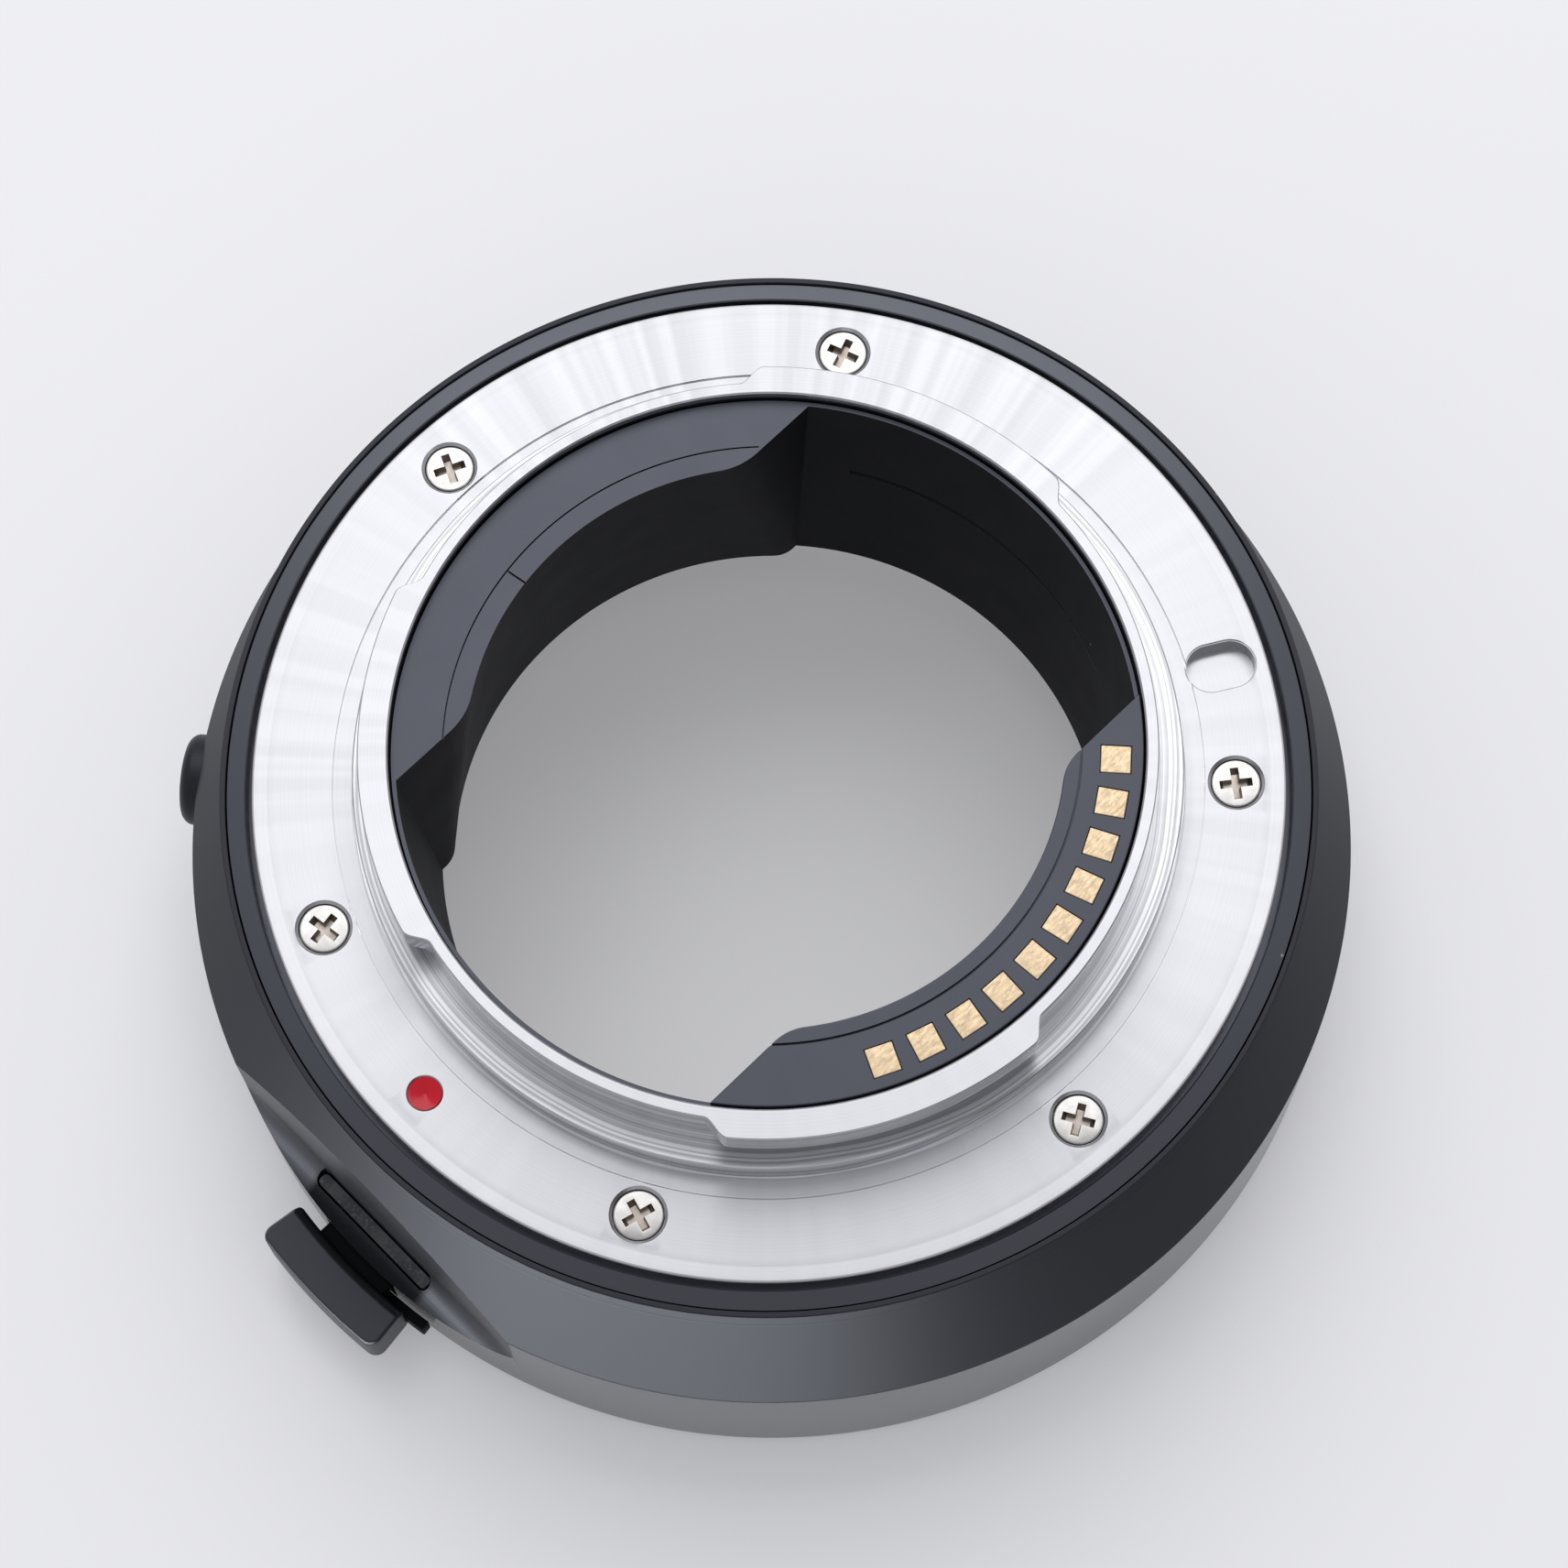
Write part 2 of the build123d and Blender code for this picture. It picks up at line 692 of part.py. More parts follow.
# Camera-side contact block with its ten pads
pad_angles = [pad_centre_angle + pad_pitch * (i - (pad_count - 1) / 2) for i in range(pad_count)]
pad_places = [Location(at(pad_circle, a), (0, 0, a)) for a in pad_angles]
with BuildPart() as camera_contact_block:
    with BuildSketch(Plane.XY.offset(contact_bottom)):
        Circle(contact_block_radius)
        with Locations((0, -contact_block_chord - contact_block_radius)):
            Rectangle(3 * contact_block_radius, 2 * contact_block_radius, mode=Mode.INTERSECT)
        Circle(contact_block_inner, mode=Mode.SUBTRACT)
        block_corners = vertices().filter_by(lambda v: abs(Vector(v).length - contact_block_inner) < 0.01)
        fillet(block_corners, contact_block_corner)
    extrude(amount=contact_block_height)
    with BuildSketch(Plane.XY.offset(contact_top)):
        add(ring_sector(seam_radius, seam_radius + seam_width, *seam_span))
    extrude(amount=-seam_depth, mode=Mode.SUBTRACT)
    with BuildSketch(Plane.XY.offset(contact_top)):
        with Locations(*pad_places):
            Rectangle(pad_length + 2 * thread_gap, pad_width + 2 * thread_gap)
    extrude(amount=-pad_thickness, mode=Mode.SUBTRACT)
    with BuildSketch(Plane.XY.offset(contact_top)):
        with Locations(*pad_places):
            Rectangle(pad_leg + 2 * thread_gap, pad_leg + 2 * thread_gap)
    extrude(amount=-contact_block_height, mode=Mode.SUBTRACT)
save(camera_contact_block, "camera_contact_block")

with BuildPart() as camera_contacts:
    with BuildSketch(Plane.XY.offset(contact_top)):
        with Locations(*pad_places):
            Rectangle(pad_length, pad_width)
    extrude(amount=-pad_thickness)
    with BuildSketch(Plane.XY.offset(contact_top - pad_thickness)):
        with Locations(*pad_places):
            Rectangle(pad_leg, pad_leg)
    extrude(amount=pad_thickness - contact_block_height)
save(camera_contacts, "camera_contacts")

with BuildPart() as camera_contact_flex:
    with BuildSketch(Plane.XY.offset(flex_bottom)):
        flex_ends = (contact_angle - flex_half_span, contact_angle + flex_half_span)
        add(ring_sector(flex_inner, flex_outer, *flex_ends))
        with Locations((0, -contact_block_chord - loose_gap - flex_outer)):
            Rectangle(3 * flex_outer, 2 * flex_outer, mode=Mode.INTERSECT)
    extrude(amount=flex_thickness)
    with BuildSketch(Plane.XY.offset(board_top)):
        with Locations((0, -flex_tail_y)):
            Rectangle(flex_tail_width, flex_thickness)
    extrude(amount=flex_bottom - board_top)
    with BuildSketch(Plane.XY.offset(board_top)):
        with Locations((0, -(flex_tail_y + chip_circle) / 2)):
            Rectangle(flex_tail_width, chip_circle - flex_tail_y + flex_thickness)
    extrude(amount=flex_thickness)
save(camera_contact_flex, "camera_contact_flex")

# Control board under the baffle's flange, with its two chips
with BuildPart() as control_board:
    with BuildSketch(Plane.XY.offset(board_bottom)):
        half_span = board_half_span
        add(ring_sector(board_inner, board_outer, contact_angle - half_span, contact_angle + half_span))
    extrude(amount=board_thickness)
    with Locations(Plane.XY.offset(board_top)):
        with Locations(*[at(board_post_circle, a) for a in board_post_angles]):
            Hole(small_shank_radius + loose_gap, board_thickness)
save(control_board, "control_board")

screw_group(
    "board_screws",
    [at(board_post_circle, a) for a in board_post_angles],
    board_bottom,
    (small_head_radius, small_head_height),
    small_shank_radius,
    board_thickness + board_screw_length - loose_gap,
    points_up=True,
)

with BuildPart() as controller_chip:
    with BuildSketch(Plane.XY.offset(board_top)):
        with Locations(Location(at(chip_circle, controller_angle), (0, 0, controller_angle))):
            Rectangle(controller_size, controller_size)
    extrude(amount=controller_height)
    chamfer(edges().group_by(Axis.Z)[-1], controller_height / 6)
save(controller_chip, "controller_chip")

with BuildPart() as memory_chip:
    with BuildSketch(Plane.XY.offset(board_top)):
        with Locations(Location(at(chip_circle, memory_angle), (0, 0, memory_angle))):
            Rectangle(memory_width, memory_length)
    extrude(amount=memory_height)
    chamfer(edges().group_by(Axis.Z)[-1], memory_height / 6)
save(memory_chip, "memory_chip")

# Lens-side mount ring: three claws, with gaps for the tabs of a lens between them
with BuildPart() as lens_mount_ring:
    with BuildSketch(Plane.XZ):
        with BuildLine():
            Polyline(
                (claw_radius, 0),
                (lens_ring_radius - lens_ring_chamfer, 0),
                (lens_ring_radius, lens_ring_chamfer),
                (lens_ring_radius, web_bottom),
                (claw_relief_radius, web_bottom),
                (claw_relief_radius, claw_thickness),
                (claw_radius, claw_thickness),
                close=True,
            )
        make_face()
    revolve(axis=Axis.Z)
    with BuildSketch():
        for angle in throat_angles:
            half_gap = throat_span / 2
            add(ring_sector(claw_radius - 1, throat_radius, angle - half_gap, angle + half_gap))
    extrude(amount=claw_thickness, mode=Mode.SUBTRACT)
    with Locations(facing_down(0)):
        with Locations(*[at(lens_screw_circle, -a) for a in lens_screw_angles]):
            CounterBoreHole(
                small_shank_radius + loose_gap,
                small_head_radius + loose_gap,
                small_head_height + loose_gap,
                web_bottom,
            )
        with Locations((-lock_pin_circle, 0)):
            Hole(lock_pin_radius + fit_gap, web_bottom)
save(lens_mount_ring, "lens_mount_ring")

screw_group(
    "lens_mount_screws",
    [at(lens_screw_circle, a) for a in lens_screw_angles],
    small_head_height + loose_gap,
    (small_head_radius, small_head_height),
    small_shank_radius,
    web_bottom - small_head_height - loose_gap + lens_screw_length,
    points_up=True,
)

# Three leaf springs that draw the tabs of a lens against the claws
with BuildPart() as bayonet_springs:
    with BuildSketch(Plane.XY.offset(web_bottom)):
        for angle in leaf_angles:
            add(ring_sector(leaf_inner, leaf_outer, angle - leaf_span / 2, angle + leaf_span / 2))
    extrude(amount=leaf_thickness)
save(bayonet_springs, "bayonet_springs")

# Lens-side contact block, screwed to the web by two ears
pin_angles = [contact_angle + pin_pitch * (i - (pin_count - 1) / 2) for i in range(pin_count)]
pin_places = [at(pin_circle, a) for a in pin_angles]
with BuildPart() as lens_contact_block:
    with BuildSketch(Plane.XY.offset(lens_block_face)):
        half_span = lens_block_half_span
        ends = (contact_angle - half_span, contact_angle + half_span)
        add(ring_sector(lens_block_inner, lens_block_outer, *ends))
    extrude(amount=lens_block_top - lens_block_face)
    with BuildSketch(Plane.XY.offset(web_top)):
        for angle in lens_ear_angles:
            half_ear = lens_ear_span / 2
            add(ring_sector(lens_block_outer - 1, lens_ear_radius, angle - half_ear, angle + half_ear))
    extrude(amount=lens_ear_thickness)
    with Locations(Plane.XY.offset(lens_block_top)):
        with Locations(*pin_places):
            Hole(socket_radius + thread_gap, lens_block_top - socket_bottom)
            Hole(pin_radius + fit_gap, lens_block_top - lens_block_face)
    with Locations(Plane.XY.offset(web_top + lens_ear_thickness)):
        with Locations(*[at(lens_ear_screw_circle, a) for a in lens_ear_angles]):
            Hole(small_shank_radius + loose_gap, lens_ear_thickness)
save(lens_contact_block, "lens_contact_block")

screw_group(
    "contact_block_screws",
    [at(lens_ear_screw_circle, a) for a in lens_ear_angles],
    web_top + lens_ear_thickness,
    (small_head_radius - loose_gap, small_head_height),
    small_shank_radius,
    lens_ear_screw_length,
)

with BuildPart() as pin_sockets:
    with BuildSketch(Plane.XY.offset(socket_bottom)):
        with Locations(*pin_places):
            Circle(socket_radius)
    extrude(amount=lens_block_top - socket_bottom)
    with BuildSketch(Plane.XY.offset(socket_bottom)):
        with Locations(*pin_places):
            Circle(socket_bore)
    extrude(amount=lens_block_top - socket_cap - socket_bottom, mode=Mode.SUBTRACT)
    with BuildSketch(Plane.XY.offset(lens_block_top)):
        with Locations(*pin_places):
            Circle(socket_tail_radius)
    extrude(amount=contact_board_thickness)
save(pin_sockets, "pin_sockets")

with BuildPart() as lens_contact_board:
    with BuildSketch(Plane.XY.offset(lens_block_top)):
        add(
            ring_sector(
                lens_block_inner + 4 * loose_gap,
                lens_block_outer - loose_gap,
                contact_angle - lens_block_half_span + contact_board_margin,
                contact_angle + lens_block_half_span - contact_board_margin,
            )
        )
        with Locations(*pin_places):
            Circle(socket_tail_radius + thread_gap, mode=Mode.SUBTRACT)
    extrude(amount=contact_board_thickness)
save(lens_contact_board, "lens_contact_board")

# Flexible circuit from the lens-side contacts up to the control board
contact_board_top = lens_block_top + contact_board_thickness
with BuildPart() as lens_contact_flex:
    with BuildSketch(Plane.YZ):
        with BuildLine():
            Polyline(
                (-pin_circle - 1, contact_board_top),
                (-lens_flex_y - flex_thickness, contact_board_top),
                (-lens_flex_y - flex_thickness, board_bottom),
                (-board_inner - 1, board_bottom),
                (-board_inner - 1, board_bottom - flex_thickness),
                (-lens_flex_y, board_bottom - flex_thickness),
                (-lens_flex_y, contact_board_top + flex_thickness),
                (-pin_circle - 1, contact_board_top + flex_thickness),
                close=True,
            )
        make_face()
    extrude(amount=lens_flex_half_width, both=True)
save(lens_contact_flex, "lens_contact_flex")

# Eight spring pins: a round nose, a shank in the block and a shoulder in the socket
pin_tip = lens_block_face - pin_reach
pin_shoulder_bottom = socket_bottom + fit_gap
for number, place in enumerate(pin_places, start=1):
    with BuildPart() as contact_pin:
        with BuildSketch(Plane.XY.offset(pin_tip)):
            with Locations(place):
                Circle(pin_radius)
        extrude(amount=pin_shoulder_bottom - pin_tip)
        chamfer(edges().group_by(Axis.Z)[0], pin_nose)
        with BuildSketch(Plane.XY.offset(pin_shoulder_bottom)):
            with Locations(place):
                Circle(pin_shoulder_radius)
        extrude(amount=pin_shoulder_length)
    save(contact_pin, f"lens_contact_pin_{number}")

# Release slider: curved finger block on a sole that lies against the barrel
sole_inner = barrel_radius + sole_gap
with BuildPart() as release_slider:
    with BuildSketch(Plane.XY.offset(finger_bottom)):
        add(ring_sector(finger_inner, finger_outer, 180 - finger_half_angle, 180 + finger_half_angle))
        fillet(vertices().sort_by(Axis.X)[:2], finger_corner)
    extrude(amount=finger_top - finger_bottom)
    chamfer(faces().sort_by(Axis.Z)[-1].edges().sort_by(Axis.X)[-1], finger_slope, finger_slope)
    fillet(faces().sort_by(Axis.Z)[-1].edges().sort_by(Axis.X)[:-1], finger_edge)
    with BuildSketch(Plane.XY.offset(sole_bottom)):
        add(ring_sector(sole_inner, finger_inner + fit_gap, *sole_span))
    extrude(amount=sole_top - sole_bottom)
    # Socket for the tongue of the carriage
    with BuildSketch(Plane.XY.offset(arm_bottom - fit_gap)):
        with Locations((-sole_inner, 0)):
            Rectangle(2 * (tongue_end + loose_gap - sole_inner), 2 * (arm_half_width + fit_gap))
    extrude(amount=arm_thickness + 2 * fit_gap, mode=Mode.SUBTRACT)
save(release_slider, "release_slider")

# Carriage: guide plate in the barrel's channel, arm to the lock pin, tongue to the slider
arm_inner = lock_pin_circle - lock_pin_radius - 2 * loose_gap
with BuildPart() as slider_carriage:
    with BuildSketch(Plane.XY.offset(arm_bottom)):
        with Locations((-(arm_inner + tongue_end) / 2, 0)):
            Rectangle(tongue_end - arm_inner, 2 * arm_half_width)
        fillet(vertices().group_by(Axis.X)[-1], lock_pin_radius)
    extrude(amount=arm_thickness)
    with BuildSketch(Plane.XY.offset(guide_bottom)):
        with Locations((-guide_inner - guide_thickness / 2, 0)):
            Rectangle(guide_thickness, 2 * guide_half_length)
        fillet(vertices(), guide_end_fillet - fit_gap)
    extrude(amount=guide_height)
    with Locations(Plane.XY.offset(arm_top)):
        with Locations((-lock_pin_circle, 0)):
            Hole(lock_stem_radius + thread_gap, arm_thickness)
save(slider_carriage, "slider_carriage")

# Lens lock pin: rounded nose through the ring, stem through the carriage
with BuildPart() as lens_lock_pin:
    with BuildSketch():
        with Locations((-lock_pin_circle, 0)):
            Circle(lock_pin_radius)
    extrude(amount=arm_bottom)
    chamfer(edges().group_by(Axis.Z)[0], lock_pin_radius / 4)
    with BuildSketch(Plane.XY.offset(arm_bottom)):
        with Locations((-lock_pin_circle, 0)):
            Circle(lock_stem_radius)
    extrude(amount=arm_thickness + lock_stem_length)
save(lens_lock_pin, "lens_lock_pin")

# Coil spring between the carriage and its seat in the frame
lock_spring_pitch = (lock_spring_length - lock_spring_wire) / lock_spring_turns
with BuildPart() as lock_pin_spring:
    with BuildLine():
        coil = Helix(
            lock_spring_pitch,
            lock_spring_pitch * lock_spring_turns,
            lock_spring_radius,
            center=(-lock_pin_circle, 0, arm_top + lock_spring_wire / 2),
        )
    with BuildSketch(Plane(origin=coil @ 0, x_dir=(1, 0, 0), z_dir=(0, 1, 0))):
        Rectangle(lock_spring_wire, lock_spring_wire)
    sweep(path=coil, is_frenet=True)
save(lock_pin_spring, "lock_pin_spring")

# Side button: cap, flange behind the barrel's lip, and a stem to the switch
with BuildPart() as side_button:
    with BuildSketch(radial_plane(button_angle, button_height, button_flange_back)):
        Circle(button_flange_radius)
    extrude(amount=button_flange_thickness - fit_gap)
    with BuildSketch(radial_plane(button_angle, button_height, button_flange_back)):
        Circle(button_radius)
    extrude(amount=button_face - button_flange_back)
    outward = Axis((0, 0, 0), at(1, button_angle))
    fillet(edges().filter_by(GeomType.CIRCLE).group_by(outward)[-1], button_edge)
    with BuildSketch(radial_plane(button_angle, button_height, button_stem_tip)):
        Circle(button_stem_radius)
    extrude(amount=button_flange_back - button_stem_tip)
save(side_button, "side_button")

with BuildPart() as button_switch:
    with BuildSketch(radial_plane(button_angle, button_height, switch_seat)):
        Circle(switch_radius)
    extrude(amount=switch_thickness)
    with BuildSketch(radial_plane(button_angle, button_height, switch_top)):
        Circle(switch_dome_radius)
    extrude(amount=switch_dome_height, taper=20)
save(button_switch, "button_switch")
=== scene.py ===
import math

import bmesh
import bpy
from mathutils import Matrix, Vector


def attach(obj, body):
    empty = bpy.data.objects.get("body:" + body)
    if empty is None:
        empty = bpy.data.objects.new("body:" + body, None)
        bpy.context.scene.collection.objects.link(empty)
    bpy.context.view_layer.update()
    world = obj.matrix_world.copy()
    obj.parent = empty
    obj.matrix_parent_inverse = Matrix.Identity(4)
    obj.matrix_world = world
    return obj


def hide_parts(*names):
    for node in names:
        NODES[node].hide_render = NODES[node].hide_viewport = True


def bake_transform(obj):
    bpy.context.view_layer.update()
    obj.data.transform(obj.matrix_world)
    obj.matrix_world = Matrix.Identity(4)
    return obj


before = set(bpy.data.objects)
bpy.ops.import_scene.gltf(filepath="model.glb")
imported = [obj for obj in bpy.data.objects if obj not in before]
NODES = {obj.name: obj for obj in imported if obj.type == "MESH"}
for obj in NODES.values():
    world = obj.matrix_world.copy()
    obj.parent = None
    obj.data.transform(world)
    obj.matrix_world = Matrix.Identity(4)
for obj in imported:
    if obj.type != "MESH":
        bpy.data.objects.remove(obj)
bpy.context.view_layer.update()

bl_info = {
    "name": "Lens mount adapter",
    "version": (1, 0, 0),
    "blender": (4, 5, 0),
    "location": "3D View > Sidebar > Adapter",
    "description": "Dresses the solids of a lens mount adapter with fine pieces and finishes",
    "category": "Object",
}

# Lengths below are in millimetres, in the frame of the solids
MM = 0.001
FINE = 0.02
TURN_STEPS = 288

FLANGE_Z = 24.0
FLANGE_BACK = 22.0
COLLAR_TOP = 30.06
TAB_BOTTOM = 27.7
TAB_SPANS = ((-2.5, 47.8), (110.3, 166.1), (218.4, 267.2))
TAB_RADIUS = 25.0
COLLAR_RADIUS = 23.9
COLLAR_BORE = 23.13
TAB_END_WIDTH = 3.6
MOUNT_SCREWS = (36.0, 90.0, 155.5, 210.0, 265.7, 314.0)
MOUNT_SCREW_CIRCLE = 29.13
MOUNT_SCREW_TOP = 23.85
HEAD_ROUND = 0.13
LOCK_SLOT = (29.27, 329.3, 4.4, 3.1)
INDEX_DOT = (29.24, 180.0, 1.05)

BARREL_RADIUS = 37.5
BARREL_EDGE = 13.26
BARREL_BORE = 33.95
SCOOP_FACE = 35.3
SCOOP_FLOOR = 6.0
SCOOP_FILLET = 3.0
SCOOP_HALF = 13.0
CHANNEL = (35.35, 36.4, 5.2, 1.5)
BUTTON_ANGLE = 129.0
BUTTON_Z = 10.8

BAFFLE_TOP = 29.2
BAFFLE_BOTTOM = 8.5
BAFFLE_RADIUS = 23.0
BAFFLE_BAND = 14.3
# Round radius, side radius and corner of the light opening at its top and bottom
BAFFLE_OPENING_TOP = (18.45, 22.74, 4.5)
BAFFLE_OPENING_BOTTOM = (20.9, 21.7, 1.9)
SEAT_Z = 25.3

SOLE_OUTER = 38.36

BLOCK_TOP = 30.0
BLOCK_BOTTOM = 25.5
BLOCK_RADIUS = 22.98
BLOCK_CHORD = 13.85
BLOCK_INNER = 18.2
BLOCK_CORNER = 3.2
PAD_CIRCLE = 21.28
PAD_ANGLES = [278.25 + 7.5 * (i - 4.5) for i in range(10)]

# Painted shade: a darker, duller black put on faces that lie deep and in shade, such as the scoop floor, the slider's
# sole, the carriage beyond the channel and the baffle's walls
PAINTED_SHADE_BLACK = (0.003, 0.0034, 0.0045)
# How far the grooves of the wall lean under, and those of the rim lean up
WALL_UNDERCUT = 0.05
WALL_GLOSS = 0.8
CONE_GLOSS = 0.37
RIM_LEAN = 0.82
# The painted fan highlights on the flange grow weaker towards this side
PLAIN_SIDE = (-0.676, -0.737)
# Black surfaces reflect a little blue
BLACK_SHEEN = (0.82, 0.86, 1.0, 1.0)

# The studio is dim on one side, and bright elsewhere
DIM_SIDE = (0.205, -0.963, 0.17)
SKY_BRIGHT = 0.66
SKY_DIM = 0.06
# The table is lit a little from below
FLOOR_GLOW = 0.36

LENS_SCREWS = (50.0, 130.0, 165.0, 250.0, 290.0)
LENS_SCREW_CIRCLE = 29.9
CLAW_GAPS = (90.0, 210.0, 330.0)
CLAW_GAP_SPAN = 56.0


def polar(radius, angle, height=0.0):
    """A point at a radius and an angle in degrees round the axis."""
    a = math.radians(angle)
    return Vector((radius * math.cos(a), radius * math.sin(a), height))


def smooth_step(t):
    """Rises from 0 to 1 with flat ends."""
    t = min(1.0, max(0.0, t))
    return t * t * (3 - 2 * t)


def add_mesh(name, points, faces):
    """A new mesh object from points in millimetres, with its normals outward."""
    mesh = bpy.data.meshes.new(name)
    mesh.from_pydata([tuple(c * MM for c in p) for p in points], [], faces)
    bm = bmesh.new()
    bm.from_mesh(mesh)
    bmesh.ops.remove_doubles(bm, verts=bm.verts, dist=1e-8)
    bmesh.ops.dissolve_degenerate(bm, edges=bm.edges, dist=1e-8)
    bmesh.ops.recalc_face_normals(bm, faces=bm.faces)
    bm.to_mesh(mesh)
    bm.free()
    obj = bpy.data.objects.new(name, mesh)
    bpy.context.collection.objects.link(obj)
    return obj


def loop_columns(name, columns):
    """A closed ring from columns of points, each column a closed section."""
    count, size = len(columns), len(columns[0])
    points = [p for column in columns for p in column]
    faces = []
    for i in range(count):
        j = (i + 1) % count
        for k in range(size):
            m = (k + 1) % size
            faces.append((i * size + k, j * size + k, j * size + m, i * size + m))
    return add_mesh(name, points, faces)


def lathe(name, section, steps=TURN_STEPS):
    """A ring turned about the axis from a closed section of (radius, height)."""
    angles = [360.0 * i / steps for i in range(steps)]
    return loop_columns(name, [[polar(r, a, z) for r, z in section] for a in angles])


def spindle(name, outline, steps=48):
    """A solid turned about the axis from an open outline that starts and ends on it."""
    points, faces = [], []
    for i in range(steps):
        points += [polar(r, 360.0 * i / steps, z) for r, z in outline]
    size = len(outline)
    for i in range(steps):
        j = (i + 1) % steps
        for k in range(size - 1):
            faces.append((i * size + k, j * size + k, j * size + k + 1, i * size + k + 1))
    return add_mesh(name, points, faces)


def prism(name, outline, low, high):
    """A straight solid from a flat outline of (x, y)."""
    count = len(outline)
    points = [Vector((x, y, low)) for x, y in outline] + [Vector((x, y, high)) for x, y in outline]
    faces = [tuple(range(count)), tuple(range(count, 2 * count))]
    for i in range(count):
        j = (i + 1) % count
        faces.append((i, j, count + j, count + i))
    return add_mesh(name, points, faces)


def sector_outline(inner, outer, start, end, steps=24):
    """The outline of a ring sector."""
    angles = [start + (end - start) * i / steps for i in range(steps + 1)]
    far = [polar(outer, a).xy for a in angles]
    near = [polar(inner, a).xy for a in reversed(angles)]
    return [tuple(p) for p in far + near]


def arc(centre, radius, start, end, steps):
    """Points on an arc between two angles in degrees."""
    spread = [start + (end - start) * i / steps for i in range(steps + 1)]
    return [
        (centre[0] + radius * math.cos(math.radians(a)), centre[1] + radius * math.sin(math.radians(a)))
        for a in spread
    ]


def take_result(obj):
    """Makes what the modifiers show into the object's own mesh."""
    graph = bpy.context.evaluated_depsgraph_get()
    done = bpy.data.meshes.new_from_object(obj.evaluated_get(graph))
    obj.modifiers.clear()
    obj.data = done
    return obj


def cut(obj, *cutters):
    """Takes the cutters away from the object."""
    for cutter in cutters:
        bite = obj.modifiers.new("bite", "BOOLEAN")
        bite.operation = "DIFFERENCE"
        bite.solver = "EXACT"
        bite.object = cutter
        take_result(obj)
        bpy.data.objects.remove(cutter)
    return obj


def bevel(obj, width, segments=3, limit=30.0):
    """Rounds the sharp edges."""
    edge = obj.modifiers.new("edge", "BEVEL")
    edge.width = width * MM
    edge.segments = segments
    edge.limit_method = "ANGLE"
    edge.angle_limit = math.radians(limit)
    edge.harden_normals = False
    return take_result(obj)


def shade(obj, limit=20.0):
    """Shades smooth, with hard edges where faces meet at more than the limit."""
    bm = bmesh.new()
    bm.from_mesh(obj.data)
    for face in bm.faces:
        face.smooth = True
    for edge in bm.edges:
        flat = len(edge.link_faces) == 2 and edge.calc_face_angle(math.pi) < math.radians(limit)
        edge.smooth = flat
    bm.to_mesh(obj.data)
    bm.free()
    even = obj.modifiers.new("even", "WEIGHTED_NORMAL")
    even.keep_sharp = True
    return obj


def join(name, pieces):
    """One object from several meshes."""
    bm = bmesh.new()
    for piece in pieces:
        bm.from_mesh(piece.data)
    mesh = bpy.data.meshes.new(name)
    bm.to_mesh(mesh)
    bm.free()
    obj = bpy.data.objects.new(name, mesh)
    bpy.context.collection.objects.link(obj)
    for piece in pieces:
        bpy.data.objects.remove(piece)
    return obj


def moved(obj, matrix):
    """Moves an object's mesh, and leaves the object at the origin."""
    obj.data.transform(matrix)
    return obj


def stands_for(obj, body, slot, *nodes):
    """Ties a piece to its body and hides the solids that it replaces; the slot argument is not used."""
    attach(obj, body)
    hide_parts(*nodes)
    return obj


def paint(obj, *materials):
    """Gives an object its materials in order."""
    obj.data.materials.clear()
    for material in materials:
        obj.data.materials.append(material)
    return obj


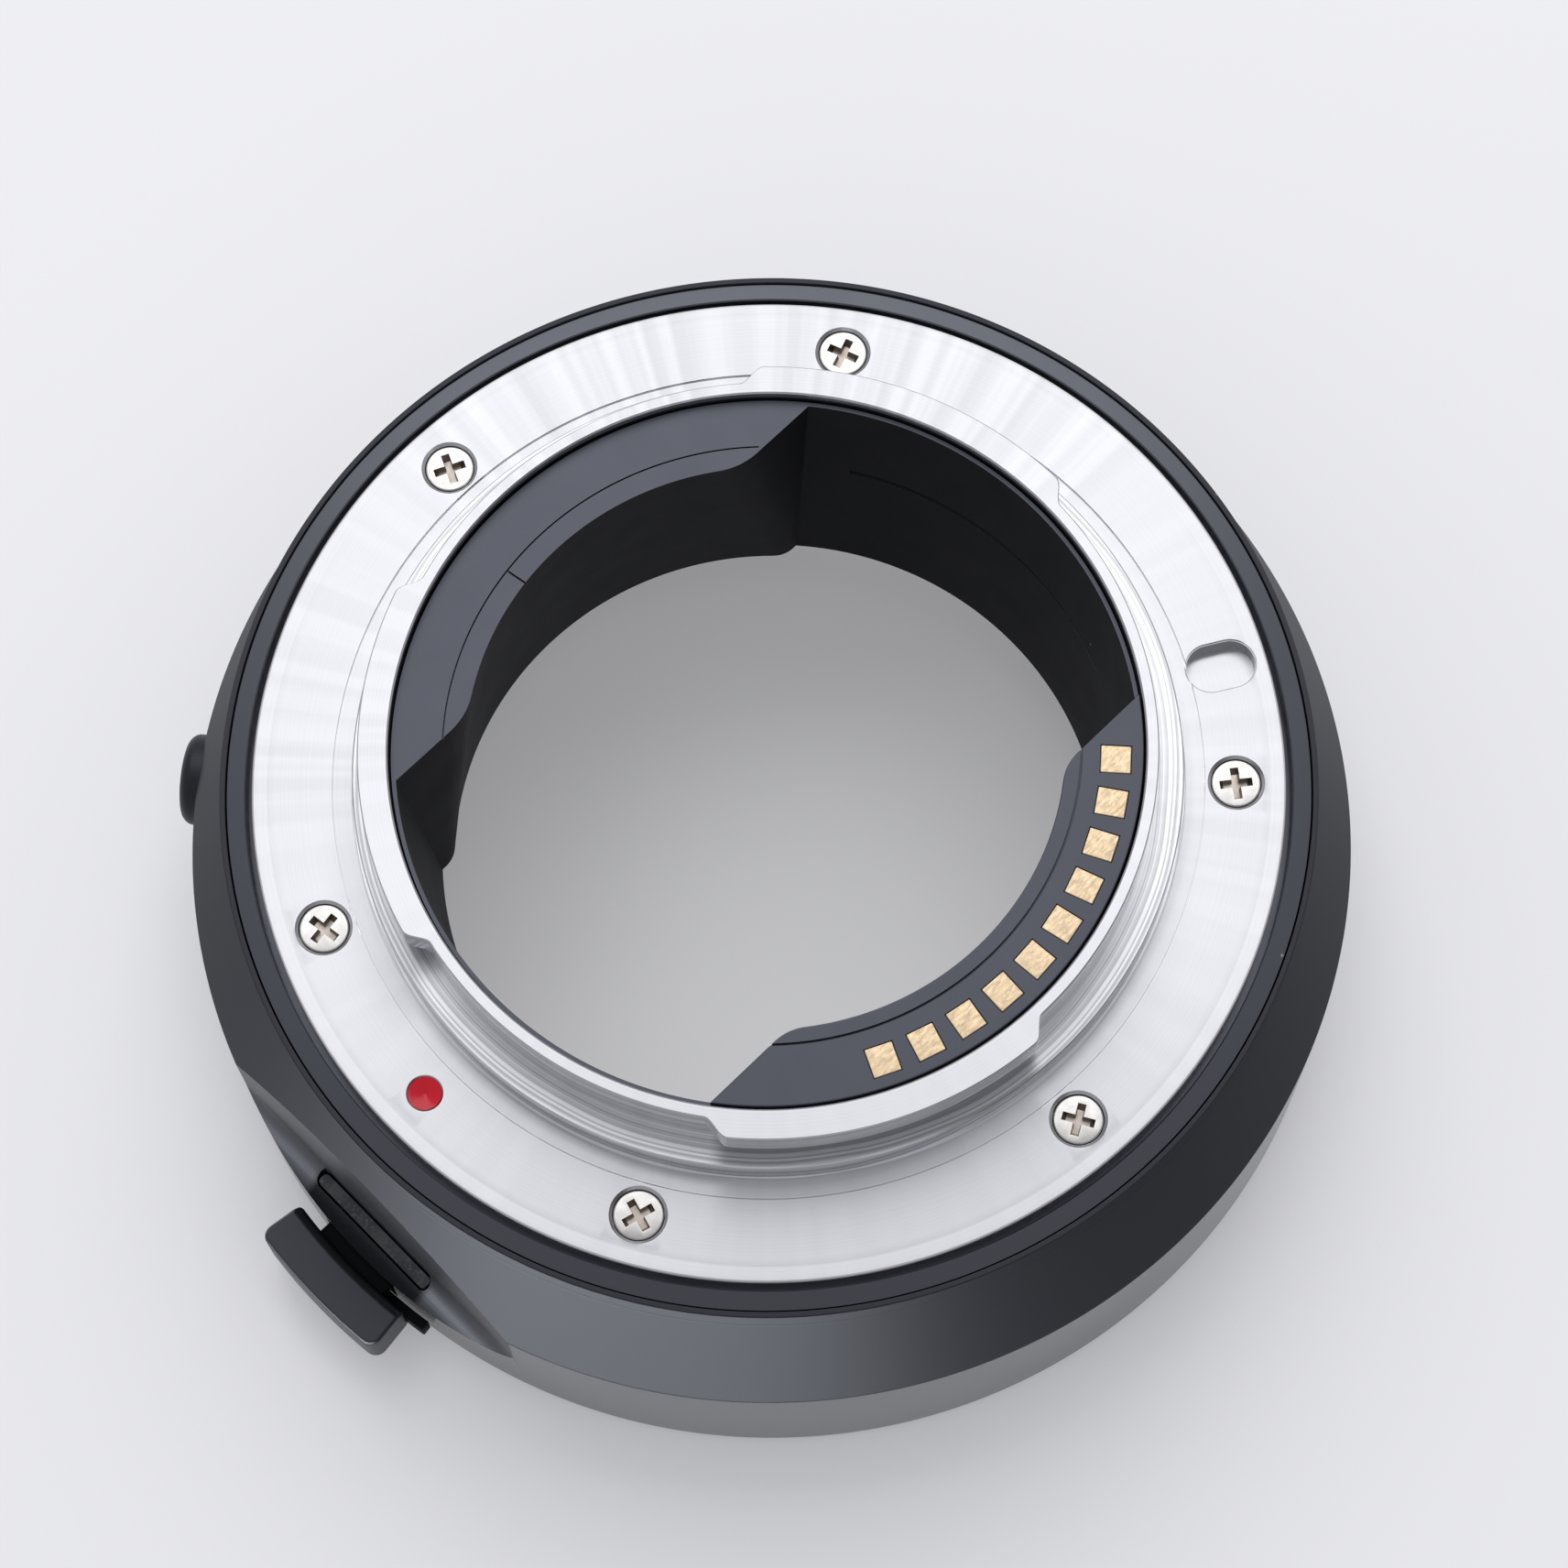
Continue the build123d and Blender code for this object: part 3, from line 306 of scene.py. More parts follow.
class Shader:
    """A material and short ways to add nodes to it."""

    def __init__(self, name, colour, roughness, metallic=0.0):
        self.material = bpy.data.materials.new(name)
        self.material.use_nodes = True
        self.tree = self.material.node_tree
        self.bsdf = self.tree.nodes["Principled BSDF"]
        self.bsdf.inputs["Base Color"].default_value = (*colour, 1.0)
        self.bsdf.inputs["Roughness"].default_value = roughness
        self.bsdf.inputs["Metallic"].default_value = metallic

    def node(self, kind, **values):
        """Adds a node, sets its options and fills or links its inputs by name."""
        made = self.tree.nodes.new(kind)
        sockets = values.pop("sockets", {})
        for key, value in values.items():
            setattr(made, key, value)
        for key, value in sockets.items():
            self.feed(made.inputs[key], value)
        return made

    def feed(self, socket, value):
        """Links a socket to an output, or sets its value."""
        if isinstance(value, bpy.types.NodeSocket):
            self.tree.links.new(value, socket)
        else:
            socket.default_value = value

    def math(self, operation, first, second=0.0, third=0.0):
        """One sum."""
        made = self.tree.nodes.new("ShaderNodeMath")
        made.operation = operation
        for socket, value in zip(made.inputs, (first, second, third)):
            self.feed(socket, value)
        return made.outputs[0]

    def place(self):
        """Object coordinates, which are the frame of the solids in metres."""
        return self.node("ShaderNodeTexCoord").outputs["Object"]

    def split(self):
        """The object coordinates as x, y and z."""
        parts = self.node("ShaderNodeSeparateXYZ", sockets={0: self.place()})
        return parts.outputs[0], parts.outputs[1], parts.outputs[2]

    def radius(self):
        """Distance from the axis, in metres."""
        x, y, _ = self.split()
        return self.math("SQRT", self.math("ADD", self.math("MULTIPLY", x, x), self.math("MULTIPLY", y, y)))

    def angle(self):
        """Angle round the axis, in radians."""
        x, y, _ = self.split()
        return self.math("ARCTAN2", y, x)

    def ramp(self, value, low, high, out_low, out_high):
        """Maps a value from one range to another, and stops at the ends."""
        made = self.node("ShaderNodeMapRange", clamp=True)
        for key, given in zip((0, 1, 2, 3, 4), (value, low, high, out_low, out_high)):
            self.feed(made.inputs[key], given)
        return made.outputs[0]

    def noise(self, scale, detail=2.0, vector=None, roughness=0.5):
        """Soft noise from 0 to 1."""
        made = self.node("ShaderNodeTexNoise", sockets={"Scale": scale, "Detail": detail, "Roughness": roughness})
        self.feed(made.inputs["Vector"], vector if vector is not None else self.place())
        return made.outputs[0]

    def line_noise(self, value, scale, detail=2.0):
        """Noise along one value, for turned lines."""
        made = self.node("ShaderNodeTexNoise", noise_dimensions="1D", sockets={"W": value, "Scale": scale, "Detail": detail})
        return made.outputs[0]

    def mix(self, amount, first, second):
        """Mixes two colours."""
        made = self.node("ShaderNodeMix", data_type="RGBA")
        self.feed(made.inputs[0], amount)
        self.feed(made.inputs[6], first)
        self.feed(made.inputs[7], second)
        return made.outputs[2]

    def bump(self, height, strength, distance):
        """Sends a height to the normal."""
        made = self.node("ShaderNodeBump", sockets={"Strength": strength, "Distance": distance, "Height": height})
        self.feed(self.bsdf.inputs["Normal"], made.outputs[0])


def grey(value):
    """A neutral colour for a mix."""
    return (value, value, value, 1.0)


def turned_metal(name, colour, roughness):
    """Bright metal with turning lines, which spread highlights into fan shapes; its colour also holds painted fan
    highlights, painted reflection rings on the boss and painted light that makes upright walls brighter.
    """
    s = Shader(name, colour, roughness, 1.0)
    radius, height = s.radius(), s.split()[2]
    lines = s.line_noise(s.math("ADD", radius, height), 9000.0, 3.0)
    upward = s.node("ShaderNodeSeparateXYZ", sockets={0: s.node("ShaderNodeNewGeometry").outputs["Normal"]}).outputs[2]
    upright = s.ramp(s.math("ABSOLUTE", upward), 0.1, 0.6, 1.0, 0.0)
    # Painted reflection: on the boss, rings of darker and lighter colour stand in for reflected surroundings
    boss = s.math("MULTIPLY", s.ramp(radius, 25.8 * MM, 26.0 * MM, 1.0, 0.0), s.ramp(height, 29.3 * MM, 29.6 * MM, 1.0, 0.0))
    drift = s.math("MULTIPLY", s.noise(90.0, 1.0), 0.0006)
    reflection_band_noise = s.line_noise(s.math("ADD", s.math("ADD", radius, s.math("MULTIPLY", height, 0.35)), drift), 4200.0, 4.0)
    painted_reflection_bands = s.math("MULTIPLY", s.ramp(reflection_band_noise, 0.34, 0.62, -0.2, 0.38), boss)
    # Painted reflection: fan highlights, stripes of colour by angle round the axis, weaker towards the plain side
    painted_fan_noise = s.line_noise(s.angle(), 17.0, 2.0)
    where = s.ramp(s.line_noise(s.angle(), 1.3, 1.0), 0.42, 0.58, 0.25, 1.0)
    x, y, _ = s.split()
    aside = s.math("ADD", s.math("MULTIPLY", x, PLAIN_SIDE[0]), s.math("MULTIPLY", y, PLAIN_SIDE[1]))
    where = s.math("MULTIPLY", where, s.ramp(aside, -6 * MM, 14 * MM, 1.0, 0.25))
    painted_fan_streaks = s.math("MULTIPLY", s.ramp(painted_fan_noise, 0.36, 0.64, -0.10, 0.05), where)
    lines_and_painted_light = s.math("ADD", s.math("ADD", s.ramp(lines, 0.3, 0.7, 0.965, 1.015), painted_reflection_bands), painted_fan_streaks)
    # Painted light: upright walls get a base colour up to half again as bright as flat faces
    lines_and_painted_light = s.math("MULTIPLY", lines_and_painted_light, s.ramp(upright, 0.0, 1.0, 1.0, 1.5))
    tinted = s.node("ShaderNodeVectorMath", operation="SCALE")
    tinted.inputs[0].default_value = colour
    s.feed(tinted.inputs["Scale"], lines_and_painted_light)
    s.feed(s.bsdf.inputs["Base Color"], tinted.outputs[0])
    s.feed(s.bsdf.inputs["Roughness"], s.ramp(upright, 0.0, 1.0, roughness, roughness * 0.45))
    s.bsdf.inputs["Anisotropic"].default_value = 0.92
    s.bsdf.inputs["Anisotropic Rotation"].default_value = 0.25
    tangent = s.node("ShaderNodeTangent", direction_type="RADIAL", axis="Z")
    s.feed(s.bsdf.inputs["Tangent"], tangent.outputs[0])
    s.bump(lines, 0.02, 0.00002)
    return s.material


def plated_metal(name, colour, roughness):
    """Plain plated metal with a little unevenness."""
    s = Shader(name, colour, roughness, 1.0)
    cloud = s.noise(1400.0, 3.0)
    s.feed(s.bsdf.inputs["Roughness"], s.ramp(cloud, 0.3, 0.7, roughness * 0.8, roughness * 1.3))
    return s.material


def satin_black(name, colour, roughness, grain=0.1, gloss=0.5):
    """Black with a fine blasted grain and a few specks of dust."""
    s = Shader(name, colour, roughness)
    s.bsdf.inputs["Specular IOR Level"].default_value = gloss
    s.bsdf.inputs["Specular Tint"].default_value = BLACK_SHEEN
    cloud = s.noise(260.0, 4.0)
    s.feed(s.bsdf.inputs["Roughness"], s.ramp(cloud, 0.3, 0.7, roughness * 0.97, roughness * 1.04))
    cells = s.node("ShaderNodeTexVoronoi", sockets={"Vector": s.place(), "Scale": 420.0})
    sparse = s.ramp(s.noise(150.0, 1.0), 0.66, 0.7, 0.0, 1.0)
    dust = s.math("MULTIPLY", s.ramp(cells.outputs[0], 0.03, 0.05, 1.0, 0.0), sparse)
    s.feed(s.bsdf.inputs["Base Color"], s.mix(s.math("MULTIPLY", dust, 0.6), (*colour, 1.0), grey(0.5)))
    s.bump(s.noise(9000.0, 2.0), grain, 0.00002)
    return s


def grooved_black(name, colour, roughness, wall_roughness, lean):
    """The barrel's black: a smooth wall, and a cone turned in fine grooves whose flanks lean upward."""
    s = satin_black(name, colour, roughness)
    face = s.node("ShaderNodeNewGeometry").outputs["Normal"]
    upward = s.node("ShaderNodeSeparateXYZ", sockets={0: face}).outputs[2]
    rim = s.ramp(s.split()[2], 21.2 * MM, 21.6 * MM, -WALL_UNDERCUT, RIM_LEAN)
    rise = s.node("ShaderNodeCombineXYZ", sockets={2: s.math("MULTIPLY_ADD", upward, lean, rim)})
    leaned = s.node("ShaderNodeVectorMath", operation="ADD", sockets={0: face, 1: rise.outputs[0]})
    even = s.node("ShaderNodeVectorMath", operation="NORMALIZE", sockets={0: leaned.outputs[0]})
    grain = s.bsdf.inputs["Normal"].links[0].from_node
    s.feed(grain.inputs["Normal"], even.outputs[0])
    leaned_up = s.node("ShaderNodeSeparateXYZ", sockets={0: even.outputs[0]}).outputs[2]
    s.feed(s.bsdf.inputs["Roughness"], s.ramp(leaned_up, 0.02, 0.4, wall_roughness, roughness))
    s.feed(s.bsdf.inputs["Specular IOR Level"], s.ramp(leaned_up, 0.02, 0.4, WALL_GLOSS, CONE_GLOSS))
    return s.material


def shaded_black(name, colour, roughness):
    """The scoop's black, with painted shade: within the slot's width and further out than the slot its gloss drops low,
    so it looks darker.
    """
    s = satin_black(name, colour, roughness)
    near, far, half, _ = CHANNEL
    x, y, _ = s.split()
    beside = s.ramp(s.math("ABSOLUTE", y), (half - 0.3) * MM, (half + 0.3) * MM, 1.0, 0.0)
    outside = s.ramp(x, -(near + 0.5) * MM, -(near + 0.2) * MM, 1.0, 0.0)
    # Painted shade: the gloss falls from 0.5 to 0.06 within the slot's width, further out than the slot
    painted_shade_dulling = s.math("MULTIPLY", beside, outside)
    s.feed(s.bsdf.inputs["Specular IOR Level"], s.ramp(painted_shade_dulling, 0.0, 1.0, 0.5, 0.06))
    return s.material


def dusty_black(name, colour, roughness):
    """Black that has gathered dust and lint."""
    s = satin_black(name, colour, roughness)
    lint = s.ramp(s.noise(4200.0, 3.0, None, 0.75), 0.47, 0.66, 0.0, 0.6)
    film = s.ramp(s.noise(700.0, 3.0), 0.35, 0.65, 0.12, 0.35)
    before = s.bsdf.inputs["Base Color"].links[0].from_socket
    s.feed(s.bsdf.inputs["Base Color"], s.mix(s.math("MAXIMUM", lint, film), before, grey(0.2)))
    return s.material


def gold_plate(name, colour, roughness):
    """Gold contact plate, scuffed by use."""
    s = Shader(name, colour, roughness, 1.0)
    stretched = s.node("ShaderNodeMapping", sockets={"Vector": s.place(), "Scale": (1.0, 3.0, 1.0)})
    scuffs = s.noise(1500.0, 4.0, stretched.outputs[0], 0.7)
    s.feed(s.bsdf.inputs["Base Color"], s.mix(s.ramp(scuffs, 0.5, 0.68, 0.0, 0.6), (*colour, 1.0), (0.38, 0.31, 0.215, 1.0)))
    s.feed(s.bsdf.inputs["Roughness"], s.ramp(scuffs, 0.35, 0.65, roughness * 0.7, roughness * 1.5))
    s.bump(scuffs, 0.12, 0.00004)
    return s.material


def plain(name, colour, roughness, metallic=0.0):
    """A plain finish for what is hidden or small."""
    return Shader(name, colour, roughness, metallic).material


class AdapterSizes(bpy.types.PropertyGroup):
    """Sizes of the fine pieces that can change without the solids."""

    screw_recess_length: bpy.props.FloatProperty(
        name="Recess length", description="Length of a screw's cross recess, in millimetres", default=2.1, min=0.5, max=2.4
    )
    screw_recess_width: bpy.props.FloatProperty(
        name="Recess width", description="Width of a screw's cross recess, in millimetres", default=0.54, min=0.1, max=0.8
    )
    pad_bevel: bpy.props.FloatProperty(
        name="Pad edge", description="Rounding of a contact pad's edges, in millimetres", default=0.09, min=0.01, max=0.3
    )
    slider_edge: bpy.props.FloatProperty(
        name="Slider edge", description="Rounding of the slider's edges, in millimetres", default=0.25, min=0.05, max=0.6
    )


def colour_property(label, words, value):
    """A colour that a user can change."""
    return bpy.props.FloatVectorProperty(
        name=label, description=words, subtype="COLOR", size=3, min=0.0, max=1.0, default=value
    )


class AdapterColours(bpy.types.PropertyGroup):
    """Colours of the finishes."""

    barrel: colour_property("Barrel", "Anodised body", (0.006, 0.0066, 0.0080))
    rim: colour_property("Rim", "Dark ring under the flange", (0.008, 0.0085, 0.010))
    metal: colour_property("Mount metal", "Turned mount rings", (0.465, 0.467, 0.484))
    screw: colour_property("Screws", "Plated screws", (0.39, 0.38, 0.37))
    moulding: colour_property("Moulding", "Baffle and contact block", (0.010, 0.0115, 0.019))
    slider: colour_property("Slider", "Release slider", (0.0075, 0.008, 0.009))
    gold: colour_property("Gold", "Contact plating", (0.445, 0.345, 0.228))
    red: colour_property("Red", "Index enamel", (0.54, 0.004, 0.018))
    floor: colour_property("Floor", "Table top", (0.63, 0.63, 0.645))


class ADAPTER_OT_barrel(bpy.types.Operator):
    """Turns the barrel, cuts the scoop, channel and button bore, and turns the frame inside it"""

    bl_idname = "adapter.barrel"
    bl_label = "Barrel and frame"

    def execute(self, context):
        colours = context.scene.adapter_colours
        black = grooved_black("barrel_black", tuple(colours.barrel), 0.46, 0.2, 1.18)
        scooped_black = shaded_black("scoop_black_painted_shade", tuple(colours.barrel), 0.44)
        # Painted shade: the darker, duller black for faces that lie in shade
        painted_shade_black = satin_black("painted_shade_black", PAINTED_SHADE_BLACK, 0.6, 0.1, 0.08).material
        dark = satin_black("frame_black", tuple(colours.rim), 0.32, 0.1, 1.0).material
        barrel = lathe("barrel_shell", (
            (32.6, 0.6), (37.1, 0.6), (37.4, 0.72), (37.5, 1.0), (37.5, 13.16), (37.487, 13.27), (37.46, 13.37),
            (34.36, 21.25), (34.31, 21.38), (34.3, 21.5), (34.3, 23.5), (34.22, 23.6), (BARREL_BORE, 23.6),
            (BARREL_BORE, 4.6), (27.6, 4.6), (27.6, 2.5), (28.8, 2.5), (28.8, 2.2), (32.6, 2.2),
        ), 360)
        round_centre = (-SCOOP_FACE - SCOOP_FILLET, SCOOP_FLOOR + SCOOP_FILLET)
        scoop = [(-SCOOP_FACE, FLANGE_Z + 1)] + arc(round_centre, SCOOP_FILLET, 0, -90, 16)
        scoop += [(-46.0, SCOOP_FLOOR), (-46.0, FLANGE_Z + 1)]
        scooped = prism("scoop", scoop, -25.0, 25.0)
        moved(scooped, Matrix.Rotation(math.radians(90), 4, "X"))
        near, far, half, floor = CHANNEL
        end = (far - near) / 2 - FINE
        channel = []
        for cx, cy, start in ((-near - end, half - end, 0), (-far + end, half - end, 90),
                              (-far + end, end - half, 180), (-near - end, end - half, 270)):
            channel += arc((cx, cy), end, start, start + 90, 6)
        channel = prism("channel", channel, floor, 14.0)
        window = prism("window", ((-26.0, -3.2), (-39.0, -3.2), (-39.0, 3.2), (-26.0, 3.2)), 2.2, 5.6)
        outward = Matrix.Translation(Vector((0, 0, BUTTON_Z * MM))) @ Matrix.Rotation(math.radians(BUTTON_ANGLE), 4, "Z")
        outward = outward @ Matrix.Rotation(math.radians(90), 4, "Y")
        bore = spindle("bore", ((0, 30.0), (3.85, 30.0), (3.85, 36.3), (3.1, 36.3), (3.1, 42.0), (0, 42.0)), 64)
        moved(bore, outward)
        seat = spindle("seat", ((0, 37.0), (1.3, 37.0), (1.3, 39.0), (0, 39.0)), 40)
        dot_way = Matrix.Translation(Vector((0, 0, 5.0 * MM))) @ Matrix.Rotation(math.radians(90), 4, "Z")
        dot_way = dot_way @ Matrix.Rotation(math.radians(90), 4, "Y")
        moved(seat, dot_way)
        cut(barrel, scooped, channel, window, bore, seat)
        paint(shade(barrel), black, scooped_black, painted_shade_black)
        # Painted shade: scoop faces get the scoop black, whose gloss drops near the slot, and the scoop floor gets the
        # darker, duller black
        for face in barrel.data.polygons:
            x, y, z = face.center / MM
            if x < FINE - SCOOP_FACE and abs(y) < SCOOP_HALF and abs(face.normal.y) < 0.02 and z > SCOOP_FLOOR - FINE:
                face.material_index = 2 if face.normal.z > 0.99 else 1
        stands_for(barrel, "body", "black_anodised", "outer_barrel")

        rim = lathe("frame_turned", (
            (30.0, 4.6), (33.85, 4.6), (33.85, 23.4), (33.83, 23.45), (32.74, 23.65), (32.65, 23.58),
            (32.65, FLANGE_BACK), (24.4, FLANGE_BACK), (24.4, 19.5), (30.0, 19.5),
        ))
        room = prism("room", ((-29.0, -3.9), (-36.0, -3.9), (-36.0, 3.9), (-29.0, 3.9)), 4.0, 9.6)
        cut(rim, room)
        seat = prism("spring_seat", ((-27.1, -3.5), (-31.9, -3.5), (-31.9, 3.5), (-27.1, 3.5)), 9.66, 12.6)
        rim = join("frame_rim", (rim, seat))
        paint(shade(rim), dark)
        stands_for(rim, "body", "black_anodised", "mount_frame")
        return {"FINISHED"}


def tab_reach(angle):
    """Outer radius of the collar's top at an angle, where the tabs rise and fall in soft steps."""
    reach = 0.0
    for start, end in TAB_SPANS:
        middle, half = (start + end) / 2, (end - start) / 2
        off = abs((angle - middle + 180.0) % 360.0 - 180.0)
        reach = max(reach, smooth_step((half + TAB_END_WIDTH / 2 - off) / TAB_END_WIDTH))
    return COLLAR_RADIUS + 0.006 + (TAB_RADIUS - COLLAR_RADIUS - 0.006) * reach


class ADAPTER_OT_camera_ring(bpy.types.Operator):
    """Turns the camera-side ring with its tabs, counterbores, lock slot and index dimple"""

    bl_idname = "adapter.camera_ring"
    bl_label = "Camera-side ring"

    def execute(self, context):
        colours = context.scene.adapter_colours
        metal = turned_metal("turned_metal", tuple(colours.metal), 0.33)
        columns = []
        steps = 900
        for i in range(steps):
            a = 360.0 * i / steps
            out = tab_reach(a)
            lip = min(0.12, (out - COLLAR_RADIUS) / 2)
            section = (
                (COLLAR_BORE, FLANGE_BACK), (32.25, FLANGE_BACK), (32.25, 23.8), (32.2, 23.9), (32.1, 23.94), (31.4, 23.95),
                (31.2, 23.94), (30.85, FLANGE_Z), (27.21, FLANGE_Z), (27.19, 23.8), (27.12, 23.8), (27.1, 23.9), (25.98, 23.9), (25.95, 23.78), (25.77, 23.78), (25.75, 25.9), (25.65, 26.0),
                (COLLAR_RADIUS, 26.0), (COLLAR_RADIUS, TAB_BOTTOM), (out - lip, TAB_BOTTOM), (out, TAB_BOTTOM + lip * 2),
                (out, COLLAR_TOP - 0.09), (out - 0.08, COLLAR_TOP), (COLLAR_BORE + 0.1, COLLAR_TOP),
                (COLLAR_BORE, COLLAR_TOP - 0.1),
            )
            columns.append([polar(r, a, z) for r, z in section])
        ring = loop_columns("camera_ring", columns)
        cutters = []
        for angle in MOUNT_SCREWS:
            pocket = spindle("pocket", ((0, 22.9), (1.6, 22.9), (1.6, 23.82), (1.79, 24.0), (1.8, 25.0), (0, 25.0)), 56)
            cutters.append(moved(pocket, Matrix.Translation(polar(MOUNT_SCREW_CIRCLE, angle) * MM)))
        radius, angle, length, width = LOCK_SLOT
        half, run = width / 2, (length - width) / 2
        turn = Matrix.Translation(polar(radius, angle) * MM) @ Matrix.Rotation(math.radians(angle), 4, "Z")
        for spread, low in ((0.0, 22.75), (0.1, 23.9)):
            outline = arc((run, 0), half + spread, -90, 90, 20) + arc((-run, 0), half + spread, 90, 270, 20)
            cutters.append(moved(prism("slot", outline, low, 24.6), turn))
        radius, angle, size = INDEX_DOT
        dimple = spindle("dimple", ((0, 23.4), (size, 23.4), (size, 23.9), (size + 0.1, 24.0), (size + 0.1, 24.6), (0, 24.6)), 48)
        cutters.append(moved(dimple, Matrix.Translation(polar(radius, angle) * MM)))
        cut(ring, *cutters)
        milled = plated_metal("milled_metal", (0.46, 0.46, 0.475), 0.30)
        # Painted shade: a darker metal for the shallow ledge round the lock slot, which draws a dark outline
        edge = plated_metal("milled_edge_painted_shade", (0.22, 0.22, 0.23), 0.30)
        paint(shade(ring, 16.0), metal, milled, edge)
        hollows = [polar(MOUNT_SCREW_CIRCLE, a).xy for a in MOUNT_SCREWS] + [polar(*LOCK_SLOT[:2]).xy]
        for face in ring.data.polygons:
            centre = face.center / MM
            sunk = 22.5 < centre.z < FLANGE_Z - 0.07 and face.area < 4 * MM * MM
            steep = abs(face.normal.z) < 0.3 or face.normal.z > 0.95
            if sunk and steep and min((centre.xy - h).length for h in hollows) < 2.3:
                # The ledge round the lock slot takes the painted-shade metal, other sunk faces the milled metal
                face.material_index = 2 if centre.z > 23.85 and face.normal.z > 0.95 else 1
        stands_for(ring, "body", "bright_metal", "camera_mount_ring")
        paint_gloss = Shader("red_enamel", tuple(colours.red), 0.2)
        paint_gloss.bsdf.inputs["Specular IOR Level"].default_value = 0.3
        enamel = paint_gloss.material
        dish = [(0, 23.4), (size - 0.01, 23.4), (size - 0.01, 23.94), (size - 0.2, 23.9), (0.16, 23.62), (0.08, 23.6), (0, 23.6)]
        dot = spindle("index_dot", dish, 48)
        moved(dot, Matrix.Translation(polar(radius, angle) * MM))
        paint(shade(dot, 40.0), enamel)
        stands_for(dot, "body", "red_enamel", "camera_index_dot")
        paint(NODES["lens_index_dot"], enamel)
        return {"FINISHED"}


def screw_head(sizes, head_radius, top, bottom, shank_radius, shank_end, recess_scale):
    """One cross-recess screw on the axis, with a rounded head."""
    round_off = HEAD_ROUND * (1 if top > bottom else -1)
    outline = [(0, shank_end), (shank_radius, shank_end), (shank_radius, bottom), (head_radius, bottom)]
    for t in range(7):
        a = math.radians(15.0 * t)
        outline.append((head_radius - HEAD_ROUND * (1 - math.cos(a)), top - round_off * (1 - math.sin(a))))
    outline.append((0, top))
    head = spindle("head", outline, 56)
    deep = top - 0.6 * round_off / HEAD_ROUND
    high = top + round_off
    length, width = sizes.screw_recess_length * recess_scale / 2, sizes.screw_recess_width * recess_scale / 2
    for turn in (0, 90):
        points = []
        for z, k in ((deep, 0.72), (high, 1.03)):
            points += [Vector((x * length * k, y * width * k, z)) for x, y in ((-1, -1), (1, -1), (1, 1), (-1, 1))]
        faces = [(0, 1, 2, 3), (4, 5, 6, 7), (0, 1, 5, 4), (1, 2, 6, 5), (2, 3, 7, 6), (3, 0, 4, 7)]
        wedge = add_mesh("wedge", points, faces)
        cut(head, moved(wedge, Matrix.Rotation(math.radians(turn), 4, "Z")))
    return head


def screw_set(name, head, places, turns, recess_low, recess_high, materials):
    """Copies a screw to its places, with the recess in the second material."""
    copies = []
    for place, turn in zip(places, turns):
        copy = bpy.data.objects.new("copy", head.data.copy())
        bpy.context.collection.objects.link(copy)
        moved(copy, Matrix.Translation(place * MM) @ Matrix.Rotation(math.radians(turn), 4, "Z"))
        copies.append(copy)
    bpy.data.objects.remove(head)
    group = paint(shade(join(name, copies), 25.0), *materials)
    for face in group.data.polygons:
        centre = face.center / MM
        near = min((centre.xy - place.xy).length for place in places)
        face.material_index = 1 if near < 1.1 and recess_low < centre.z < recess_high else 0
    return group


class ADAPTER_OT_screws(bpy.types.Operator):
    """Makes the cross-recess screws of both mount rings"""

    bl_idname = "adapter.screws"
    bl_label = "Mount screws"

    def execute(self, context):
        sizes, colours = context.scene.adapter_sizes, context.scene.adapter_colours
        nickel = plated_metal("nickel", tuple(colours.screw), 0.24)
        # Painted shade: the cross recesses get a darker, browner metal than the heads
        recess = plated_metal("recess_metal_painted_shade", (0.33, 0.29, 0.26), 0.34)
        head = screw_head(sizes, 1.56, MOUNT_SCREW_TOP, 22.9, 0.8, 19.9, 1.0)
        places = [polar(MOUNT_SCREW_CIRCLE, a) for a in MOUNT_SCREWS]
        turns = (20.0, 65.0, 8.0, 75.0, 30.0, 52.0)
        screws = screw_set("mount_screws", head, places, turns, 23.2, MOUNT_SCREW_TOP - 0.02, (nickel, recess))
        stands_for(screws, "body", "plated_steel", "camera_mount_screws")
        head = screw_head(sizes, 1.2, 0.1, 0.9, 0.6, 4.1, 0.8)
        places = [polar(LENS_SCREW_CIRCLE, a) for a in LENS_SCREWS]
        screws = screw_set("lens_screws", head, places, (10, 40, 75, 20, 60), 0.12, 0.75, (nickel, recess))
        stands_for(screws, "body", "plated_steel", "lens_mount_screws")
        for node in ("frame_screws", "baffle_screws", "board_screws", "contact_block_screws"):
            paint(NODES[node], nickel)
        return {"FINISHED"}


def opening_outline(r, side, c):
    """The light opening: side arcs, straight band edges, rounded corners and round arcs."""
    b = BAFFLE_BAND
    side_x = math.sqrt(side ** 2 - b ** 2)
    cx, cy = math.sqrt((r + c) ** 2 - (b + c) ** 2), b + c
    side_angle = math.degrees(math.atan2(b, side_x))
    corner_angle = math.degrees(math.atan2(cy, cx))
    quarter = arc((0, 0), side, 0, side_angle, 26)
    quarter += [(side_x + (cx - side_x) * i / 6, b) for i in range(6)]
    quarter += arc((cx, cy), c, 270, 180 + corner_angle, 10)
    quarter += arc((0, 0), r, corner_angle, 90, 26)[1:]
    half = quarter + [(-x, y) for x, y in reversed(quarter[:-1])]
    return half + [(x, -y) for x, y in reversed(half[1:-1])]


